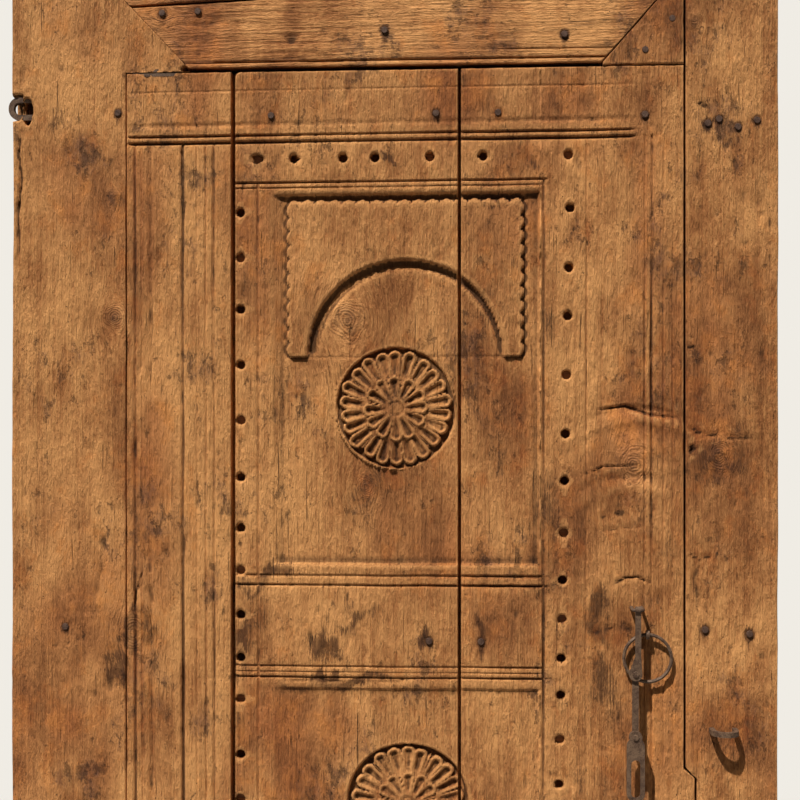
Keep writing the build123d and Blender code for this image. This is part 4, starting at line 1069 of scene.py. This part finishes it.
# The frame's upright boards: name, edges, rows, spacing, seed of the wear, tint, tone and extra shape
board_end = frame_top - 0.6
corner_end = corner_top - 0.6
mitre_meets = head_edge + (leaf_right + closing_gap - mitre_right) / right_slope
left_rows = ruled(0.0, board_end, 8.0, [(close_from, frame_top, 4.0), (*notch_zone, 2.2)],
                  [shoulder - 0.1, shoulder + 0.1, head_edge, 1.0, 3.0])
right_rows = ruled(0.0, board_end, 8.0, [(close_from, frame_top, 3.5)],
                   [kink_low, kink_high, mitre_meets, 1.0, 3.0])
corner_rows = ruled(shoulder, corner_end, 3.0, (), [head_edge, shoulder + 1.0, shoulder + 2.5])
side_boards = [
    ("left_casing", left_board_left, left_board_right, left_rows, 4.0, 104, 0.1, 0.14, worn_notch),
    ("right_casing", right_board_left, right_board_right, right_rows, 3.6, 105, 0.22, -0.02),
    ("corner_board", corner_left, corner_right, corner_rows, 3.0, 106, 0.4, 0.0),
]
for row in side_boards:
    stand_in(side_board(*row), row[0], "frame", carved_wood)


def on_joint(side):
    """The left and right ends of the head's sloping joint on the two mitres, less or plus half its gap."""
    ends = []
    at_start = mitre_left - left_slope * (head_joint - head_edge)
    start = head_joint + side * head_gap / 2
    for foot, slope in ((mitre_left, -left_slope), (mitre_right, right_slope)):
        rise = head_joint_rise * (foot - slope * head_edge - at_start)
        z = (start + rise) / (1.0 - head_joint_rise * slope)
        ends.append((foot + slope * (z - head_edge), z))
    return ends


# The head's boards, a little short of the mitres: name, corners, spacing, seed, tint, tone and grooves
left_in, right_in = 0.6, 1.6
(low_left, low_right), (high_left, high_right) = on_joint(-1), on_joint(1)
lower_corners = [(mitre_left + left_in, head_edge), (mitre_right - right_in, head_edge),
                 (low_right[0] - right_in, low_right[1]), (low_left[0] + left_in, low_left[1])]
upper_corners = [(high_left[0] + left_in, high_left[1]), (high_right[0] - right_in, high_right[1]),
                 (frame_right - right_in, frame_top), (frame_left + left_in, frame_top)]
head_grooves = [(6.5, 4.0, 2.6), (17.5, 2.5, 1.2)]
level_boards = [
    ("lower_head_board", lower_corners, 3.2, 107, 0.25, 0.06, head_grooves),
    ("upper_head_board", upper_corners, 4.5, 108, 0.25, 0.02),
]
for row in level_boards:
    stand_in(level_board(*row), row[0], "frame", head_wood)

# Nodes that keep their own shape
finish_with(upright_timber, "left_post", "right_post")
finish_with(cross_timber, "head_beam", "sill", "top_ledge", "middle_ledge", "bottom_ledge", "peg_stubs")
finish_with(nail_iron, "frame_nails", "leaf_nails", "frame_plate_nails", "leaf_plate_nails")
finish_with(iron, "top_socket_plate", "bottom_socket_plate", "top_pivot", "bottom_pivot", "wall_eye")
finish_with(iron, "staple_eye", "hasp_staple", "ring_eye", "hasp_strap", "upper_rivet", "hasp_link")
finish_with(iron, "lower_rivet", "hasp_end_link", "ring_pull")

# Floor: one flat sheet, just under the door's foot
floor_side = 2600.0
floor_front = -1400.0
floor_behind = 2500.0
corner_x = np.array([-floor_side, floor_side, floor_side, -floor_side])
corner_y = np.array([floor_front, floor_front, floor_behind, floor_behind])
floor_points = np.stack([corner_x, corner_y, np.full(4, -0.2)], axis=-1)
studio = put("studio_floor", floor_points, np.array([[0, 1, 2, 3]]), [], np.ones(1, bool))
pale = Paint("pale_studio")
pale.set(pale.shader.inputs["Base Color"], srgb(170, 167, 161))
pale.set(pale.shader.inputs["Roughness"], 0.9)
studio.data.materials.append(pale.material)

# Light: a faint sky that looks pale, a high sun a little to the left, and a soft lamp behind the door
sky_light = 0.035
world = bpy.data.worlds.new("studio_sky")
bpy.context.scene.world = world
sky = Nodes(world, "Background")
rays = sky.node("ShaderNodeLightPath").outputs
seen = Sum(sky, rays["Is Camera Ray"]).most(rays["Is Glossy Ray"]).most(rays["Is Transmission Ray"])
strength = sky.node("ShaderNodeMapRange", None, {"Value": seen, "To Min": sky_light, "To Max": 1.0})
sky.set(sky.shader.inputs["Color"], srgb(240, 236, 228))
sky.set(sky.shader.inputs["Strength"], strength.outputs[0])


def aim(direction):
    """The turn that points an object's -Z along a direction."""
    x, y, z = direction
    return (math.acos(-z / math.sqrt(x * x + y * y + z * z)), 0.0, math.atan2(y, x) - math.pi / 2)


def shine(name, direction, energy, width, colour):
    """A far lamp that shines along a direction, as wide in the sky as so many degrees."""
    lamp = bpy.data.lights.new(name, "SUN")
    lamp.energy = energy
    lamp.angle = math.radians(width)
    lamp.color = colour
    held = bpy.data.objects.new(name, lamp)
    held.rotation_euler = aim(direction)
    bpy.context.scene.collection.objects.link(held)


shine("high_sun", (0.6, 1.0, -1.85), 6.5, 1.2, (1.0, 0.965, 0.90))
shine("light_on_the_back", (-0.5, -1.0, -0.6), 1.8, 25.0, (1.0, 0.98, 0.95))

# Camera: level, a little to the right of the door
camera_turn = math.radians(3.8)
camera_distance = 1667.0
camera_height = 1319.0
aimed_at = 17.4
camera_data = bpy.data.cameras.new("camera")
camera_data.lens = 60.0
camera_data.sensor_width = 36.0
camera_data.clip_end = 50.0
camera = bpy.data.objects.new("camera", camera_data)
camera.location = (
    (aimed_at + camera_distance * math.sin(camera_turn)) * MM,
    (face - camera_distance * math.cos(camera_turn)) * MM,
    camera_height * MM,
)
camera.rotation_euler = (math.pi / 2, 0.0, camera_turn)
bpy.context.scene.collection.objects.link(camera)
bpy.context.scene.camera = camera

bpy.context.scene.view_settings.view_transform = "Standard"
